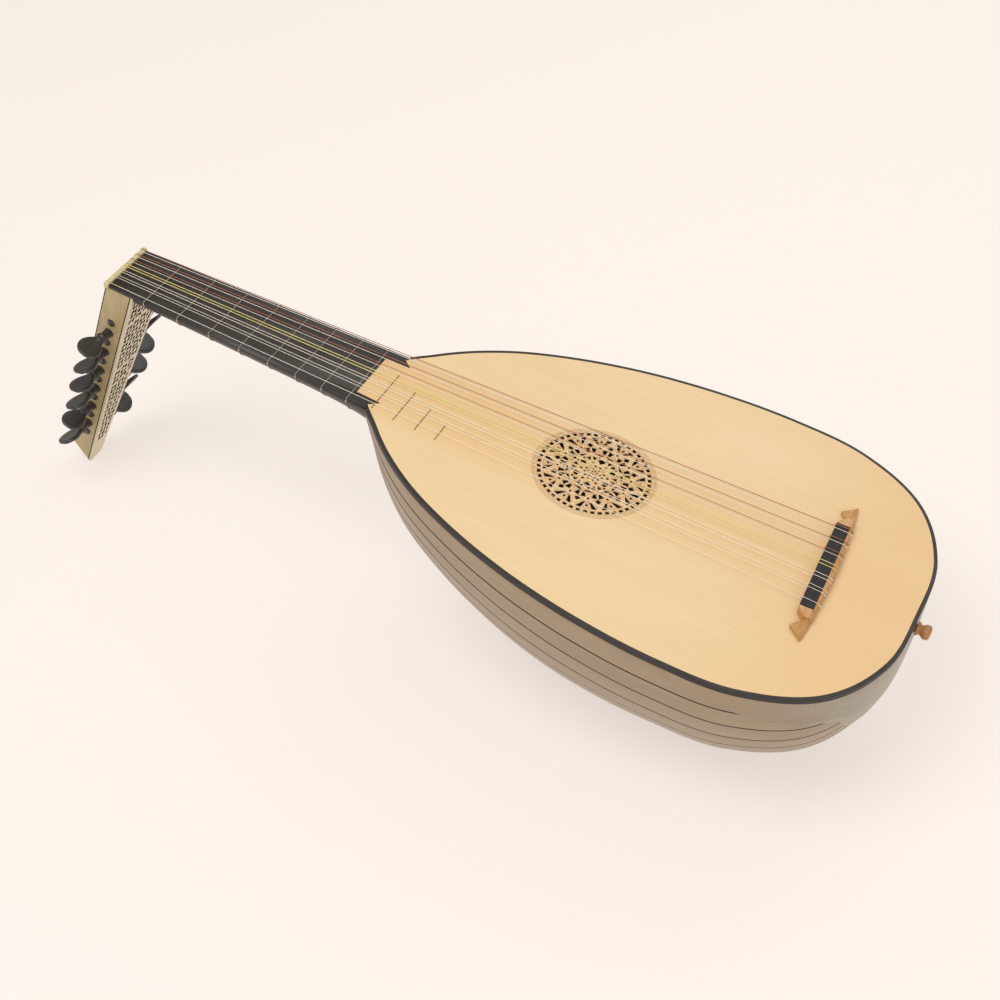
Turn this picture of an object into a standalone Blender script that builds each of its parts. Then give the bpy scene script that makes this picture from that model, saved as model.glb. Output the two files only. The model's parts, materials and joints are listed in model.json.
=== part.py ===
# A seven-course renaissance lute strung for a left-handed player, as an assembly of its real pieces.
# Frame: the origin is on the soundboard's top face, on the centre line, under the middle of the strings.
# +X runs to the tail, +Y to the bass side, +Z out of the soundboard. Sizes are in metres.

import math

import bmesh
import bpy
import numpy as np
from mathutils import Matrix, Vector
from mathutils.geometry import delaunay_2d_cdt

GAP = 0.0003  # between pieces that touch

# Strings
STRING_LENGTH = 0.600  # nut to bridge
STRING_HEIGHT_AT_NUT = 0.0019  # string centre above the soundboard plane
STRING_HEIGHT_AT_BRIDGE = 0.0056
FIRST_STRING_AT_NUT = -0.0252
SECOND_COURSE_AT_NUT = -0.0150
COURSE_STEP_AT_NUT = 0.0078
PAIR_STEP_AT_NUT = 0.0028
FIRST_STRING_AT_BRIDGE = -0.0400
COURSE_STEP_AT_BRIDGE = 0.0138
PAIR_STEP_AT_BRIDGE = 0.0038
# Diameters, treble to bass, of the string nearer the treble side and of its partner
COURSE_DIAMETERS = (
    (0.0006,),
    (0.0006, 0.0006),
    (0.0007, 0.0007),
    (0.0008, 0.0008),
    (0.0006, 0.0009),
    (0.0007, 0.0010),
    (0.0007, 0.0011),
)
WINDING_TURNS = 1.75
WINDING_POINTS = 11  # per turn
WINDING_START = 0.5  # where the winding starts, as a share of the way from the middle to the cheek
WINDING_CLEARANCE = 0.00045  # string to peg

# Body outline: distance from the body's centre every 15 degrees, from the tail round to the neck
BODY_CENTRE_X = 0.150
OUTLINE_STEP = 15.0
OUTLINE_RADII = (
    0.2321, 0.2353, 0.2276, 0.2017, 0.1712, 0.1514, 0.1412,
    0.1387, 0.1430, 0.1548, 0.1750, 0.2013, 0.2310,
)
# How much further out the bottom of the bowl runs, at the same angles
BOWL_SWELL = (
    0.0, 0.0040, 0.0060, 0.0045, 0.0040, 0.0060, 0.0075,
    0.0073, 0.0070, 0.0070, 0.0065, 0.0, -0.0100,
)
NECK_JOINT_X = -0.060
SOUNDBOARD_THICKNESS = 0.0018

# Bowl
RIB_COUNT = 21
RIB_WIDENING = 0.14  # how much wider the middle ribs are than the mean, as a share
RIB_THICKNESS = 0.0016
RIB_STATIONS = 19
BINDING_WIDTH = 0.0020
BINDING_HEIGHT = 0.0055
BINDING_LEDGE = 0.0016  # how far it reaches under the soundboard
BINDING_STATIONS = 27
CLASP_THICKNESS = 0.0009
CLASP_DEPTH_ANGLE = 18.0  # how far up the bowl the clasp reaches at the middle, in degrees
CLASP_WING_ANGLE = 42.0  # how much further its wings reach along the binding
CLASP_WING_FADE = 12.0
BLOCK_STATIONS = 4
RIB_END_RADIUS = 0.0130  # ribs stop this far from the tail's middle
TAIL_BLOCK_RADIUS = 0.0400
TAIL_BLOCK_DEPTH = 0.0120
NECK_BLOCK_LENGTH = 0.0360

# Bars glued under the soundboard
BAR_STATIONS = (-0.016, 0.020, 0.056, 0.182, 0.226, 0.268, 0.322)
BAR_WIDTH = 0.0050
BAR_HEIGHT = 0.0120

# Rose, carved in the soundboard
ROSE_X = 0.1185
ROSE_RADIUS = 0.0442
ROSE_RING_WIDTH = 0.0028
ROSE_HOLES = 48
ROSE_HOLE_BAR = 0.0024
ROSE_STRAP = 0.0018
ROSE_RECESS = 0.0003
ROSE_FLOOR_RECESS = 0.0002
ROSE_BIG_STAR = 0.0195  # distance of the big star's straps from the middle
ROSE_EDGE_STAR = 0.0345
ROSE_SMALL_STAR = 0.0085
ROSE_SPOKE = 0.0215

# Neck and fingerboard
NUT_HALF_WIDTH = 0.0272
JOINT_HALF_WIDTH = 0.0341
NECK_DEPTH_AT_NUT = 0.0200
NECK_DEPTH_AT_HEEL = 0.0270
HEEL_DEPTH = 0.0110  # extra depth where the neck meets the bowl
HEEL_LENGTH = 0.0200
NECK_SHAPE = 1.2  # 1 is an ellipse, more is a slight V
NECK_STATIONS = 9
NECK_SIDES = 12
FINGERBOARD_THICKNESS = 0.0022
TONGUE_X = -0.0753  # where the soundboard's tongue meets the fingerboard
TONGUE_HALF_WIDTH = 0.0234
POINT_TIP = (-0.0543, 0.0248)
POINT_ROOT = (-0.0614, 0.0308)
NUT_LENGTH = 0.0040
NUT_TOP = 0.0024
NUT_BOTTOM = -0.0026
NUT_OVERHANG = 0.0014

# Frets
TIED_FRETS = 8
FRET_DIAMETER = 0.0008
FRET_SINK = 0.0002  # how far a tied fret beds into the neck
BODY_FRETS = ((9, -0.0334, 0.0120), (10, -0.0359, 0.0017), (11, -0.0365, -0.0089), (12, -0.0372, -0.0188))
BODY_FRET_WIDTH = 0.0010
BODY_FRET_HEIGHT = 0.0007

# Bridge
BRIDGE_OFFSET = 0.0015  # towards the bass side
BRIDGE_SKEW = 2.5  # degrees, bass end nearer the rose
BRIDGE_DEPTH = 0.0150
BRIDGE_HEIGHT = 0.0068
CAP_HALF_LENGTH = 0.0475
CAP_DEPTH = 0.0106
CAP_THICKNESS = 0.0012
WING_WAIST = (0.0062, 0.0570)  # front edge: back from the bridge line, out from the middle
WING_LOBE = (-0.0006, 0.0660)
WING_TIP = (0.0104, 0.0765)
WING_SHOULDER = (0.0128, 0.0550)
WING_TIP_HEIGHT = 0.0028
STRING_HOLE = 0.0016  # diameter

# Pegbox
PEGBOX_LEAN = 13.0  # degrees past square to the fingerboard
PEGBOX_X = 0.0028  # how far beyond the nut's front edge the open front starts
PEGBOX_LENGTH = 0.2150
PEGBOX_TOE = 0.0150  # how much longer the back is than the front
PEGBOX_DEPTH_TOP = 0.0255
PEGBOX_DEPTH_TIP = 0.0215
PEGBOX_TIP_HALF_WIDTH = 0.0100
CHEEK_THICKNESS_TOP = 0.0034  # across, thinner at the top to let the outer strings in
CHEEK_THICKNESS_TIP = 0.0050
PANEL_THICKNESS = 0.0020
HEAD_BLOCK_LENGTH = 0.0190
HEAD_BLOCK_FRONT = 0.0008  # its front slopes back to let the strings by
HEAD_BLOCK_FOOT = 0.0048
TIP_BLOCK_LENGTH = 0.0140
PANEL_MARGIN = 0.0052
PANEL_ROWS = 20
PANEL_BRIDGE = 0.0013  # wood left between the holes

# Pegs
PEG_FIRST = 0.0390
PEG_END_CLEARANCE = 0.0096  # from the last peg's middle to the tip block
PEG_STEP = (PEGBOX_LENGTH - TIP_BLOCK_LENGTH - PEG_END_CLEARANCE - PEG_FIRST) / (sum(map(len, COURSE_DIAMETERS)) - 1)
PEG_RADIUS_HEAD = 0.0042
PEG_TAPER = 0.033  # radius lost along the shaft, as a slope over twice the length
PEG_CLEARANCE = 0.00035
PEG_SIDES = 10
PEG_SPLAY = 5.0  # degrees: the treble side's heads stand towards the open front, the bass side's to the back
PEG_SET_BACK = 0.0015  # behind the middle of the cheeks, on the centre line
PEG_NECK = 0.0120  # from the cheek to the head
PEG_HEAD_LENGTH = 0.0205
PEG_HEAD_WIDTH = 0.0200
PEG_HEAD_THICKNESS = 0.0070
PEG_COLLAR_RADIUS = 0.0052
PEG_TIP_OVERHANG = 0.0008
PEG_TURNS = (118, 160, 30, 20, 124, 12, 34, 24, 28, 168, 120, 30, 40)  # how each head stands, in degrees

# End button
BUTTON_DROP = 0.0130  # below the soundboard plane
BUTTON_SHANK_RADIUS = 0.0034
BUTTON_RADIUS = 0.0058
BUTTON_REACH = 0.0120
BUTTON_SHANK_LENGTH = 0.0090

NUT_X = -STRING_LENGTH / 2
BRIDGE_X = STRING_LENGTH / 2
BOWL_AXIS_Z = -BINDING_HEIGHT - GAP / 2
RIB_INSET = CLASP_THICKNESS + GAP

for old in list(bpy.data.objects):
    bpy.data.objects.remove(old)

PARTS = bpy.data.collections.new("renaissance_lute")
CUTTERS = bpy.data.collections.new("cutters")
bpy.context.scene.collection.children.link(PARTS)
bpy.context.scene.collection.children.link(CUTTERS)


# Materials

def make_material(name, color, roughness):
    made = bpy.data.materials.new(name)
    made.use_nodes = True
    made.diffuse_color = (*color, 1)
    shader = made.node_tree.nodes["Principled BSDF"]
    shader.inputs["Base Color"].default_value = (*color, 1)
    shader.inputs["Roughness"].default_value = roughness
    shader.inputs["Metallic"].default_value = 0
    return made


SPRUCE = make_material("spruce_soundboard", (0.86, 0.66, 0.38), 0.45)
BOWL_WOOD = make_material("bowl_rib_wood", (0.42, 0.36, 0.29), 0.35)
PALE_WOOD = make_material("pale_pegbox_wood", (0.62, 0.50, 0.33), 0.45)
BRIDGE_WOOD = make_material("fruitwood_bridge", (0.60, 0.36, 0.15), 0.45)
BLACK_WOOD = make_material("black_hardwood", (0.02, 0.02, 0.025), 0.40)
BONE = make_material("bone_nut", (0.85, 0.80, 0.58), 0.35)
INNER_WOOD = make_material("inner_block_wood", (0.60, 0.44, 0.26), 0.70)
WHITE_STRING = make_material("white_string", (0.80, 0.80, 0.76), 0.30)
YELLOW_STRING = make_material("yellow_string", (0.72, 0.68, 0.36), 0.30)
RED_STRING = make_material("red_string", (0.52, 0.16, 0.08), 0.30)


# Objects and booleans

def place(obj, name, finish, collection=PARTS):
    obj.name = name
    obj.data.name = name
    obj.data.materials.clear()
    obj.data.materials.append(finish)
    collection.objects.link(obj)
    return obj


def mesh_object(name, vertices, faces, finish, collection=PARTS):
    mesh = bpy.data.meshes.new(name)
    mesh.from_pydata([tuple(v) for v in vertices], [], faces)
    tidy = bmesh.new()
    tidy.from_mesh(mesh)
    bmesh.ops.remove_doubles(tidy, verts=tidy.verts, dist=1e-6)
    bmesh.ops.recalc_face_normals(tidy, faces=tidy.faces)
    tidy.to_mesh(mesh)
    tidy.free()
    mesh.shade_smooth()
    mesh.set_sharp_from_angle(angle=math.radians(35))
    return place(bpy.data.objects.new(name, mesh), name, finish, collection)


def loft(name, sections, finish, collection=PARTS):
    """Skins closed sections that have the same number of points, and caps both ends."""
    count = len(sections[0])
    vertices = [point for section in sections for point in section]
    faces = []
    for i in range(len(sections) - 1):
        for j in range(count):
            a, b = i * count + j, i * count + (j + 1) % count
            faces.append((a, b, b + count, a + count))
    faces.append(tuple(range(count))[::-1])
    faces.append(tuple(range((len(sections) - 1) * count, len(sections) * count)))
    return mesh_object(name, vertices, faces, finish, collection)


def flat_outline(name, loops, thickness, finish, collection=PARTS):
    """A flat plate from closed 2D loops, the first the edge and the rest holes, centred on its own Z = 0."""
    curve = bpy.data.curves.new(name, "CURVE")
    curve.dimensions = "2D"
    curve.fill_mode = "BOTH"
    curve.extrude = thickness / 2
    for loop in loops:
        spline = curve.splines.new("POLY")
        spline.points.add(len(loop) - 1)
        for point, (x, y) in zip(spline.points, loop):
            point.co = (x, y, 0, 1)
        spline.use_cyclic_u = True
    return place(bpy.data.objects.new(name, curve), name, finish, collection)


def tube(name, points, radius, finish, resolution=1, closed=False, collection=PARTS):
    curve = bpy.data.curves.new(name, "CURVE")
    curve.dimensions = "3D"
    curve.bevel_depth = radius
    curve.bevel_resolution = resolution
    curve.use_fill_caps = True
    spline = curve.splines.new("POLY")
    spline.points.add(len(points) - 1)
    for point, place_at in zip(spline.points, points):
        point.co = (*place_at, 1)
    spline.use_cyclic_u = closed
    return place(bpy.data.objects.new(name, curve), name, finish, collection)


def turned(name, profile, sides, finish, collection=PARTS):
    """A turned piece about its own Z. The profile runs down its outer side, top to bottom."""
    mesh = bpy.data.meshes.new(name)
    mesh.from_pydata([(r, 0, z) for r, z in profile], [(i, i + 1) for i in range(len(profile) - 1)], [])
    made = place(bpy.data.objects.new(name, mesh), name, finish, collection)
    screw = made.modifiers.new("turn", "SCREW")
    screw.axis = "Z"
    screw.steps = sides
    screw.render_steps = sides
    screw.use_merge_vertices = True
    screw.merge_threshold = 1e-6
    screw.use_smooth_shade = True
    return made


def as_mesh(obj, collection=PARTS):
    """The object as its modifiers leave it, with loose caps welded."""
    bpy.context.view_layer.update()
    graph = bpy.context.evaluated_depsgraph_get()
    mesh = bpy.data.meshes.new_from_object(obj.evaluated_get(graph))
    tidy = bmesh.new()
    tidy.from_mesh(mesh)
    bmesh.ops.remove_doubles(tidy, verts=tidy.verts, dist=1e-6)
    bmesh.ops.recalc_face_normals(tidy, faces=tidy.faces)
    tidy.to_mesh(mesh)
    tidy.free()
    name, finish, matrix = obj.name, obj.data.materials[0], obj.matrix_world.copy()
    bpy.data.objects.remove(obj)
    mesh.shade_smooth()
    mesh.set_sharp_from_angle(angle=math.radians(35))
    made = place(bpy.data.objects.new(name, mesh), name, finish, collection)
    made.matrix_world = matrix
    return made


def hide(cutter):
    cutter.hide_render = True
    cutter.display_type = "WIRE"
    return cutter


def joined(name, pieces):
    """Several meshes as one hidden cutter. They don't touch one another."""
    bpy.context.view_layer.update()
    whole = bmesh.new()
    for piece in pieces:
        mesh = piece.data.copy()
        mesh.transform(piece.matrix_world)
        whole.from_mesh(mesh)
        bpy.data.meshes.remove(mesh)
        bpy.data.objects.remove(piece)
    mesh = bpy.data.meshes.new(name)
    whole.to_mesh(mesh)
    whole.free()
    cutter = bpy.data.objects.new(name, mesh)
    CUTTERS.objects.link(cutter)
    return hide(cutter)


def combine(target, other, operation):
    step = target.modifiers.new(operation.lower() + "_" + other.name, "BOOLEAN")
    step.operation = operation
    step.solver = "EXACT"
    step.object = other
    return target


def merge_flats(obj):
    """Clears the seams that joining leaves on flat faces."""
    step = obj.modifiers.new("flat_faces", "DECIMATE")
    step.decimate_type = "DISSOLVE"
    step.angle_limit = math.radians(0.3)


def box(name, low, high, finish=INNER_WOOD, collection=CUTTERS):
    whole = bmesh.new()
    bmesh.ops.create_cube(whole, size=1)
    size = Vector(high) - Vector(low)
    middle = (Vector(high) + Vector(low)) / 2
    bmesh.ops.scale(whole, verts=whole.verts, vec=size)
    bmesh.ops.translate(whole, verts=whole.verts, vec=middle)
    mesh = bpy.data.meshes.new(name)
    whole.to_mesh(mesh)
    whole.free()
    return place(bpy.data.objects.new(name, mesh), name, finish, collection)


def cylinder(name, radius, far_radius, start, end, sides):
    """A round cutter from start to end."""
    whole = bmesh.new()
    axis = Vector(end) - Vector(start)
    turn = Vector((0, 0, 1)).rotation_difference(axis).to_matrix().to_4x4()
    matrix = Matrix.Translation((Vector(start) + Vector(end)) / 2) @ turn
    bmesh.ops.create_cone(
        whole, cap_ends=True, segments=sides, radius1=radius, radius2=far_radius, depth=axis.length, matrix=matrix
    )
    mesh = bpy.data.meshes.new(name)
    whole.to_mesh(mesh)
    whole.free()
    return place(bpy.data.objects.new(name, mesh), name, INNER_WOOD, CUTTERS)


# The body's outline and the bowl's profile

def between(values, angle):
    """A smooth curve through evenly spaced values, level at both ends."""
    last = len(values) - 1
    spot = angle / OUTLINE_STEP
    i = min(max(int(math.floor(spot)), 0), last - 1)
    s = spot - i
    before = values[abs(i - 1)]
    after = values[i + 2] if i + 2 <= last else values[2 * last - i - 2]
    a, b = values[i], values[i + 1]
    return 0.5 * (
        2 * a + (b - before) * s + (2 * before - 5 * a + 4 * b - after) * s**2 + (3 * a - before - 3 * b + after) * s**3
    )


def profile(swell_share, inset):
    """Points (x, distance from the long axis) from tail to neck, moved inwards square to the curve."""
    angles = np.linspace(0, 180, 361)
    radii = np.array([between(OUTLINE_RADII, a) + swell_share * between(BOWL_SWELL, a) for a in angles])
    x = BODY_CENTRE_X + radii * np.cos(np.radians(angles))
    rho = radii * np.sin(np.radians(angles))
    dx, drho = np.gradient(x), np.gradient(rho)
    length = np.hypot(dx, drho)
    return x - inset * drho / length, rho + inset * dx / length


def bend_scale():
    """A running measure along the outline that grows faster where it bends more."""
    x, rho = profile(0, 0)
    dx, drho = np.gradient(x), np.gradient(rho)
    turn = np.abs(np.gradient(np.unwrap(np.arctan2(drho, dx))))
    grown = np.sqrt(np.maximum(turn, 1e-4) * np.hypot(dx, drho))
    return np.concatenate([[0], np.cumsum((grown[1:] + grown[:-1]) / 2)])


def stations(x, rho, count, rho_start, x_end):
    """Where to sample a profile, from where it is rho_start out at the tail to x_end at the neck."""
    steps = np.arange(len(x), dtype=float)
    tail = int(np.argmax(rho > rho_start)) if rho_start else 0
    start = np.interp(rho_start, rho[tail - 1 : tail + 1], steps[tail - 1 : tail + 1]) if tail else 0.0
    neck = int(np.argmax((x < x_end) & (steps > start)))
    end = np.interp(-x_end, -x[neck - 1 : neck + 1], steps[neck - 1 : neck + 1])
    scale = bend_scale()
    marks = np.linspace(np.interp(start, steps, scale), np.interp(end, steps, scale), count)
    return np.interp(marks, scale, steps)


def at(spots, x, rho):
    steps = np.arange(len(x), dtype=float)
    return np.interp(spots, steps, x), np.interp(spots, steps, rho)


def rib_stations(phi, inset):
    x, rho = profile(math.sin(phi), inset)
    return stations(x, rho, RIB_STATIONS, RIB_END_RADIUS, NECK_JOINT_X + GAP)


def bowl_point(x, rho, phi, shift=0.0):
    """A point on the plane through the long axis at angle phi, from the treble side down and round to the bass.
    shift moves it square to that plane, towards the bass side."""
    return (
        x,
        -rho * math.cos(phi) + shift * math.sin(phi),
        BOWL_AXIS_Z - rho * math.sin(phi) - shift * math.cos(phi),
    )


def joint_angle(i):
    """The plane of the joint between rib i and the next, with the middle ribs a little wider."""
    u = i / RIB_COUNT
    return math.pi * (u - RIB_WIDENING * math.sin(2 * math.pi * u) / (2 * math.pi))


def rim(inset, count, x_end):
    """The outline in the soundboard's plane, from the neck along the treble side to the tail and back."""
    x, rho = profile(0, inset)
    x, rho = at(stations(x, rho, count, 0.0, x_end), x, rho)
    half = [(a, -b) for a, b in zip(x[::-1], rho[::-1])]
    return half[:-1] + [(half[-1][0], 0.0)] + [(a, b) for a, b in zip(x[1:], rho[1:])]


def rim_half_width(x, inset):
    xs, rhos = profile(0, inset)
    return float(np.interp(-x, -xs, rhos))


# Bowl pieces

def make_ribs():
    for i in range(RIB_COUNT):
        low, high = joint_angle(i), joint_angle(i + 1)
        lines = {}
        for phi in (low, high):
            lines[phi] = [
                at(rib_stations(phi, inset), *profile(math.sin(phi), inset))
                for inset in (RIB_INSET, RIB_INSET + RIB_THICKNESS)
            ]
        sections = []
        for k in range(RIB_STATIONS):
            section = []
            for phi, layer, shift in ((low, 0, GAP / 2), (high, 0, -GAP / 2), (high, 1, -GAP / 2), (low, 1, GAP / 2)):
                x, rho = lines[phi][layer]
                section.append(bowl_point(x[k], rho[k], phi, shift))
            sections.append(section)
        loft(f"rib_{i + 1:02d}", sections, BOWL_WOOD)


def make_edge_binding():
    end = NECK_JOINT_X + GAP
    outer = rim(0, BINDING_STATIONS, end)
    seat = rim(BINDING_WIDTH, BINDING_STATIONS, end)
    ledge = rim(BINDING_WIDTH + BINDING_LEDGE, BINDING_STATIONS, end)
    under = -SOUNDBOARD_THICKNESS - GAP
    sections = []
    for (ox, oy), (sx, sy), (lx, ly) in zip(outer, seat, ledge):
        sections.append(
            [(ox, oy, 0), (ox, oy, -BINDING_HEIGHT), (lx, ly, -BINDING_HEIGHT), (lx, ly, under), (sx, sy, under), (sx, sy, 0)]
        )
    loft("edge_binding", sections, BLACK_WOOD)


def make_neck_block():
    inset = RIB_INSET + RIB_THICKNESS + 3 * GAP
    top = -max(SOUNDBOARD_THICKNESS, FINGERBOARD_THICKNESS) - GAP
    sections = []
    for x_at in np.linspace(NECK_JOINT_X + GAP, NECK_JOINT_X + NECK_BLOCK_LENGTH, 7):
        section = []
        for i in range(RIB_COUNT + 1):
            phi = joint_angle(i)
            xs, rhos = profile(math.sin(phi), inset)
            rho = float(np.interp(-x_at, -xs, rhos))
            section.append(bowl_point(x_at, rho, phi))
        shoulder = abs(section[0][1]) - BINDING_LEDGE - BINDING_WIDTH
        low = BOWL_AXIS_Z
        section[0] = (x_at, section[0][1], low)
        section += [(x_at, shoulder, low), (x_at, shoulder, top), (x_at, -shoulder, top), (x_at, -shoulder, low)]
        sections.append(section)
    loft("neck_block", sections, INNER_WOOD)


def clasp_edge(phi):
    """How far round the bowl from the tail the clasp reaches, in degrees at the body's centre."""
    from_binding = math.degrees(min(phi, math.pi - phi))
    return CLASP_DEPTH_ANGLE + CLASP_WING_ANGLE * math.exp(-from_binding / CLASP_WING_FADE)


def clasp_cutter():
    """Takes away the clasp's shell beyond its curved edge, cutting straight across the bowl."""
    edge = []
    for phi in np.linspace(0, math.pi / 2, 19):
        spot = clasp_edge(phi) * 2
        x, rho = at(spot, *profile(math.sin(phi), 0))
        edge.append((float(x), float(-rho * math.sin(phi)) + BOWL_AXIS_Z))
    low, high = -max(OUTLINE_RADII), -BOWL_AXIS_Z
    loop = [(edge[0][0], high), *edge, (edge[-1][0], low), (0, low), (0, high)]
    width = 3 * max(OUTLINE_RADII)
    return loft("clasp_cutter", [[(x, y, z) for x, z in loop] for y in (-width, width)], BOWL_WOOD, CUTTERS)


def make_tail_block():
    """The block inside the tail with the clasp outside it, which between them hold the ribs' ends."""
    flat_x = BODY_CENTRE_X + OUTLINE_RADII[0] - TAIL_BLOCK_DEPTH
    plug = RIB_END_RADIUS - GAP
    block_inset = RIB_INSET + RIB_THICKNESS + GAP
    shell = int(np.argmax(rib_stations(0, RIB_INSET) > 2 * clasp_edge(0))) + 1
    sections = []
    for i in range(RIB_COUNT + 1):
        phi = joint_angle(i)
        share = math.sin(phi)
        outer, under, block = (profile(share, inset) for inset in (0, CLASP_THICKNESS, block_inset))
        steps = np.arange(len(outer[0]), dtype=float)
        spots = rib_stations(phi, RIB_INSET)[:shell]
        root = np.interp(plug, under[1][:60], steps[:60])
        ring = list(zip(*at(np.concatenate([[0], spots]), *outer)))
        ring += zip(*at(np.concatenate([spots[::-1], [root]]), *under))
        foot = np.interp(plug, block[1][:90], steps[:90])
        tail = np.interp(TAIL_BLOCK_RADIUS, block[1][:120], steps[:120])
        spots = rib_stations(phi, RIB_INSET + RIB_THICKNESS)[:BLOCK_STATIONS]
        spots = np.minimum(np.append(spots, tail), tail)
        ring += zip(*at(np.concatenate([[foot], spots]), *block))
        ring += [(flat_x, TAIL_BLOCK_RADIUS), (flat_x, 0.0)]
        points = [bowl_point(x, max(rho, 0.0), phi) for x, rho in ring]
        sections.append([(x, y, min(z, BOWL_AXIS_Z - GAP / 2)) for x, y, z in points])
    block = loft("tail_block", sections, BOWL_WOOD)
    hole = cylinder(
        "button_hole", BUTTON_SHANK_RADIUS + GAP, BUTTON_SHANK_RADIUS + GAP,
        (flat_x - GAP, 0, -BUTTON_DROP), (flat_x + 2 * TAIL_BLOCK_DEPTH, 0, -BUTTON_DROP), PEG_SIDES,
    )
    combine(block, hide(clasp_cutter()), "DIFFERENCE")
    combine(block, hide(hole), "DIFFERENCE")


def tail_x_at(drop):
    """Where the tail's surface is at a depth below the soundboard, on the centre line."""
    xs, rhos = profile(1, 0)
    return float(np.interp(drop + BOWL_AXIS_Z, rhos[:60], xs[:60]))


def make_end_button():
    seat = tail_x_at(BUTTON_DROP) + GAP
    reach, radius, shank = BUTTON_REACH, BUTTON_RADIUS, BUTTON_SHANK_RADIUS
    outline = (
        (0, reach), (0.45 * radius, reach), (0.85 * radius, 0.93 * reach), (radius, 0.78 * reach),
        (0.92 * radius, 0.60 * reach), (0.62 * radius, 0.42 * reach), (0.60 * radius, 0.25 * reach),
        (0.85 * radius, 0.14 * reach), (0.85 * radius, 0.04 * reach), (shank, 0.04 * reach),
        (shank, -BUTTON_SHANK_LENGTH), (0, -BUTTON_SHANK_LENGTH),
    )
    button = turned("end_button", outline, 14, BRIDGE_WOOD)
    button.rotation_euler = (0, math.radians(90), 0)
    button.location = (seat, 0, -BUTTON_DROP)


# Soundboard and rose

def strap_face(start, end, width):
    """A straight strap's four corners in the plane."""
    run = (Vector(end) - Vector(start)).normalized() * 1.0
    side = Vector((-run.y, run.x)) * width / 2
    return [Vector(start) + side, Vector(start) - side, Vector(end) - side, Vector(end) + side]


def chord(distance, angle, radius, width):
    """A strap square to the direction angle, this far from the middle, ending on a circle."""
    out = Vector((math.cos(angle), math.sin(angle)))
    along = Vector((-out.y, out.x))
    half = math.sqrt(radius**2 - distance**2)
    return strap_face(out * distance - along * half, out * distance + along * half, width)


def ring_faces(inner, outer, sides, turn=0.0):
    faces = []
    for i in range(sides):
        a, b = (2 * math.pi * (i + k) / sides + turn for k in (0, 1))
        faces.append([Vector((r * math.cos(t), r * math.sin(t))) for r, t in ((inner, a), (outer, a), (outer, b), (inner, b))])
    return faces


def rose_faces():
    """The rose's straps, bars and rings as overlapping flat shapes."""
    faces = []
    middle = ROSE_RADIUS - ROSE_RING_WIDTH - ROSE_STRAP / 2
    for i in range(12):
        faces.append(chord(ROSE_BIG_STAR, math.pi * i / 6, middle, ROSE_STRAP))
    faces += ring_faces(ROSE_EDGE_STAR - ROSE_STRAP, ROSE_EDGE_STAR, 12, math.pi / 12)
    faces += ring_faces(ROSE_SMALL_STAR - ROSE_STRAP, ROSE_SMALL_STAR, 6)
    for i in range(6):
        turn = math.pi * i / 3
        out = Vector((math.cos(turn), math.sin(turn)))
        faces.append(strap_face(out * (ROSE_SMALL_STAR - ROSE_STRAP / 2), out * ROSE_SPOKE, ROSE_STRAP))
    return faces


def merged_plate(name, faces, z_low, z_high, finish, collection):
    """The union of flat shapes, as a plate."""
    corners, loops = [], []
    for face in faces:
        loops.append(list(range(len(corners), len(corners) + len(face))))
        corners += [Vector((round(p.x, 7) + 0.0, round(p.y, 7) + 0.0)) for p in face]
    points, _, triangles, _, _, sources = delaunay_2d_cdt(corners, [], loops, 0, 1e-6)
    kept = [t for t, source in zip(triangles, sources) if source]
    whole = bmesh.new()
    made = [whole.verts.new((p.x, p.y, z_low)) for p in points]
    flats = [whole.faces.new([made[i] for i in t]) for t in kept]
    loose = [v for v in whole.verts if not v.link_faces]
    bmesh.ops.delete(whole, geom=loose, context="VERTS")
    bmesh.ops.dissolve_limit(
        whole, angle_limit=math.radians(1), verts=whole.verts, edges=whole.edges, use_dissolve_boundaries=False
    )
    pulled = bmesh.ops.extrude_face_region(whole, geom=list(whole.faces), use_keep_orig=True)
    top = [v for v in pulled["geom"] if isinstance(v, bmesh.types.BMVert)]
    bmesh.ops.translate(whole, verts=top, vec=(0, 0, z_high - z_low))
    bmesh.ops.recalc_face_normals(whole, faces=whole.faces)
    mesh = bpy.data.meshes.new(name)
    whole.to_mesh(mesh)
    whole.free()
    return place(bpy.data.objects.new(name, mesh), name, finish, collection)


def soundboard_outline():
    inset = BINDING_WIDTH + GAP
    edge = rim(inset, BINDING_STATIONS, NECK_JOINT_X + 2 * GAP)
    tip_x, tip_y = POINT_TIP
    root_x, root_y = POINT_ROOT
    horn = [
        (TONGUE_X + GAP, TONGUE_HALF_WIDTH - GAP),
        (tip_x, tip_y - 2 * GAP),
        (tip_x + 2 * GAP, tip_y),
        (root_x + GAP, root_y + GAP),
    ]
    treble = [(x, -y) for x, y in horn]
    return treble + edge + horn[::-1]


def rose_openings():
    """The rose's round opening, and the ring of small square holes round it."""
    inner = ROSE_RADIUS - ROSE_RING_WIDTH
    share = 2 * math.pi / ROSE_HOLES
    loops = [[((inner - ROSE_STRAP), share * i) for i in range(ROSE_HOLES)]]
    for i in range(ROSE_HOLES):
        ends = []
        for radius in (inner, ROSE_RADIUS):
            half = share / 2 - ROSE_HOLE_BAR / 2 / radius
            ends += [(radius, share * i - half), (radius, share * i + half)]
        loops.append([ends[0], ends[1], ends[3], ends[2]])
    return [[(ROSE_X + r * math.cos(t), r * math.sin(t)) for r, t in loop] for loop in loops]


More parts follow.
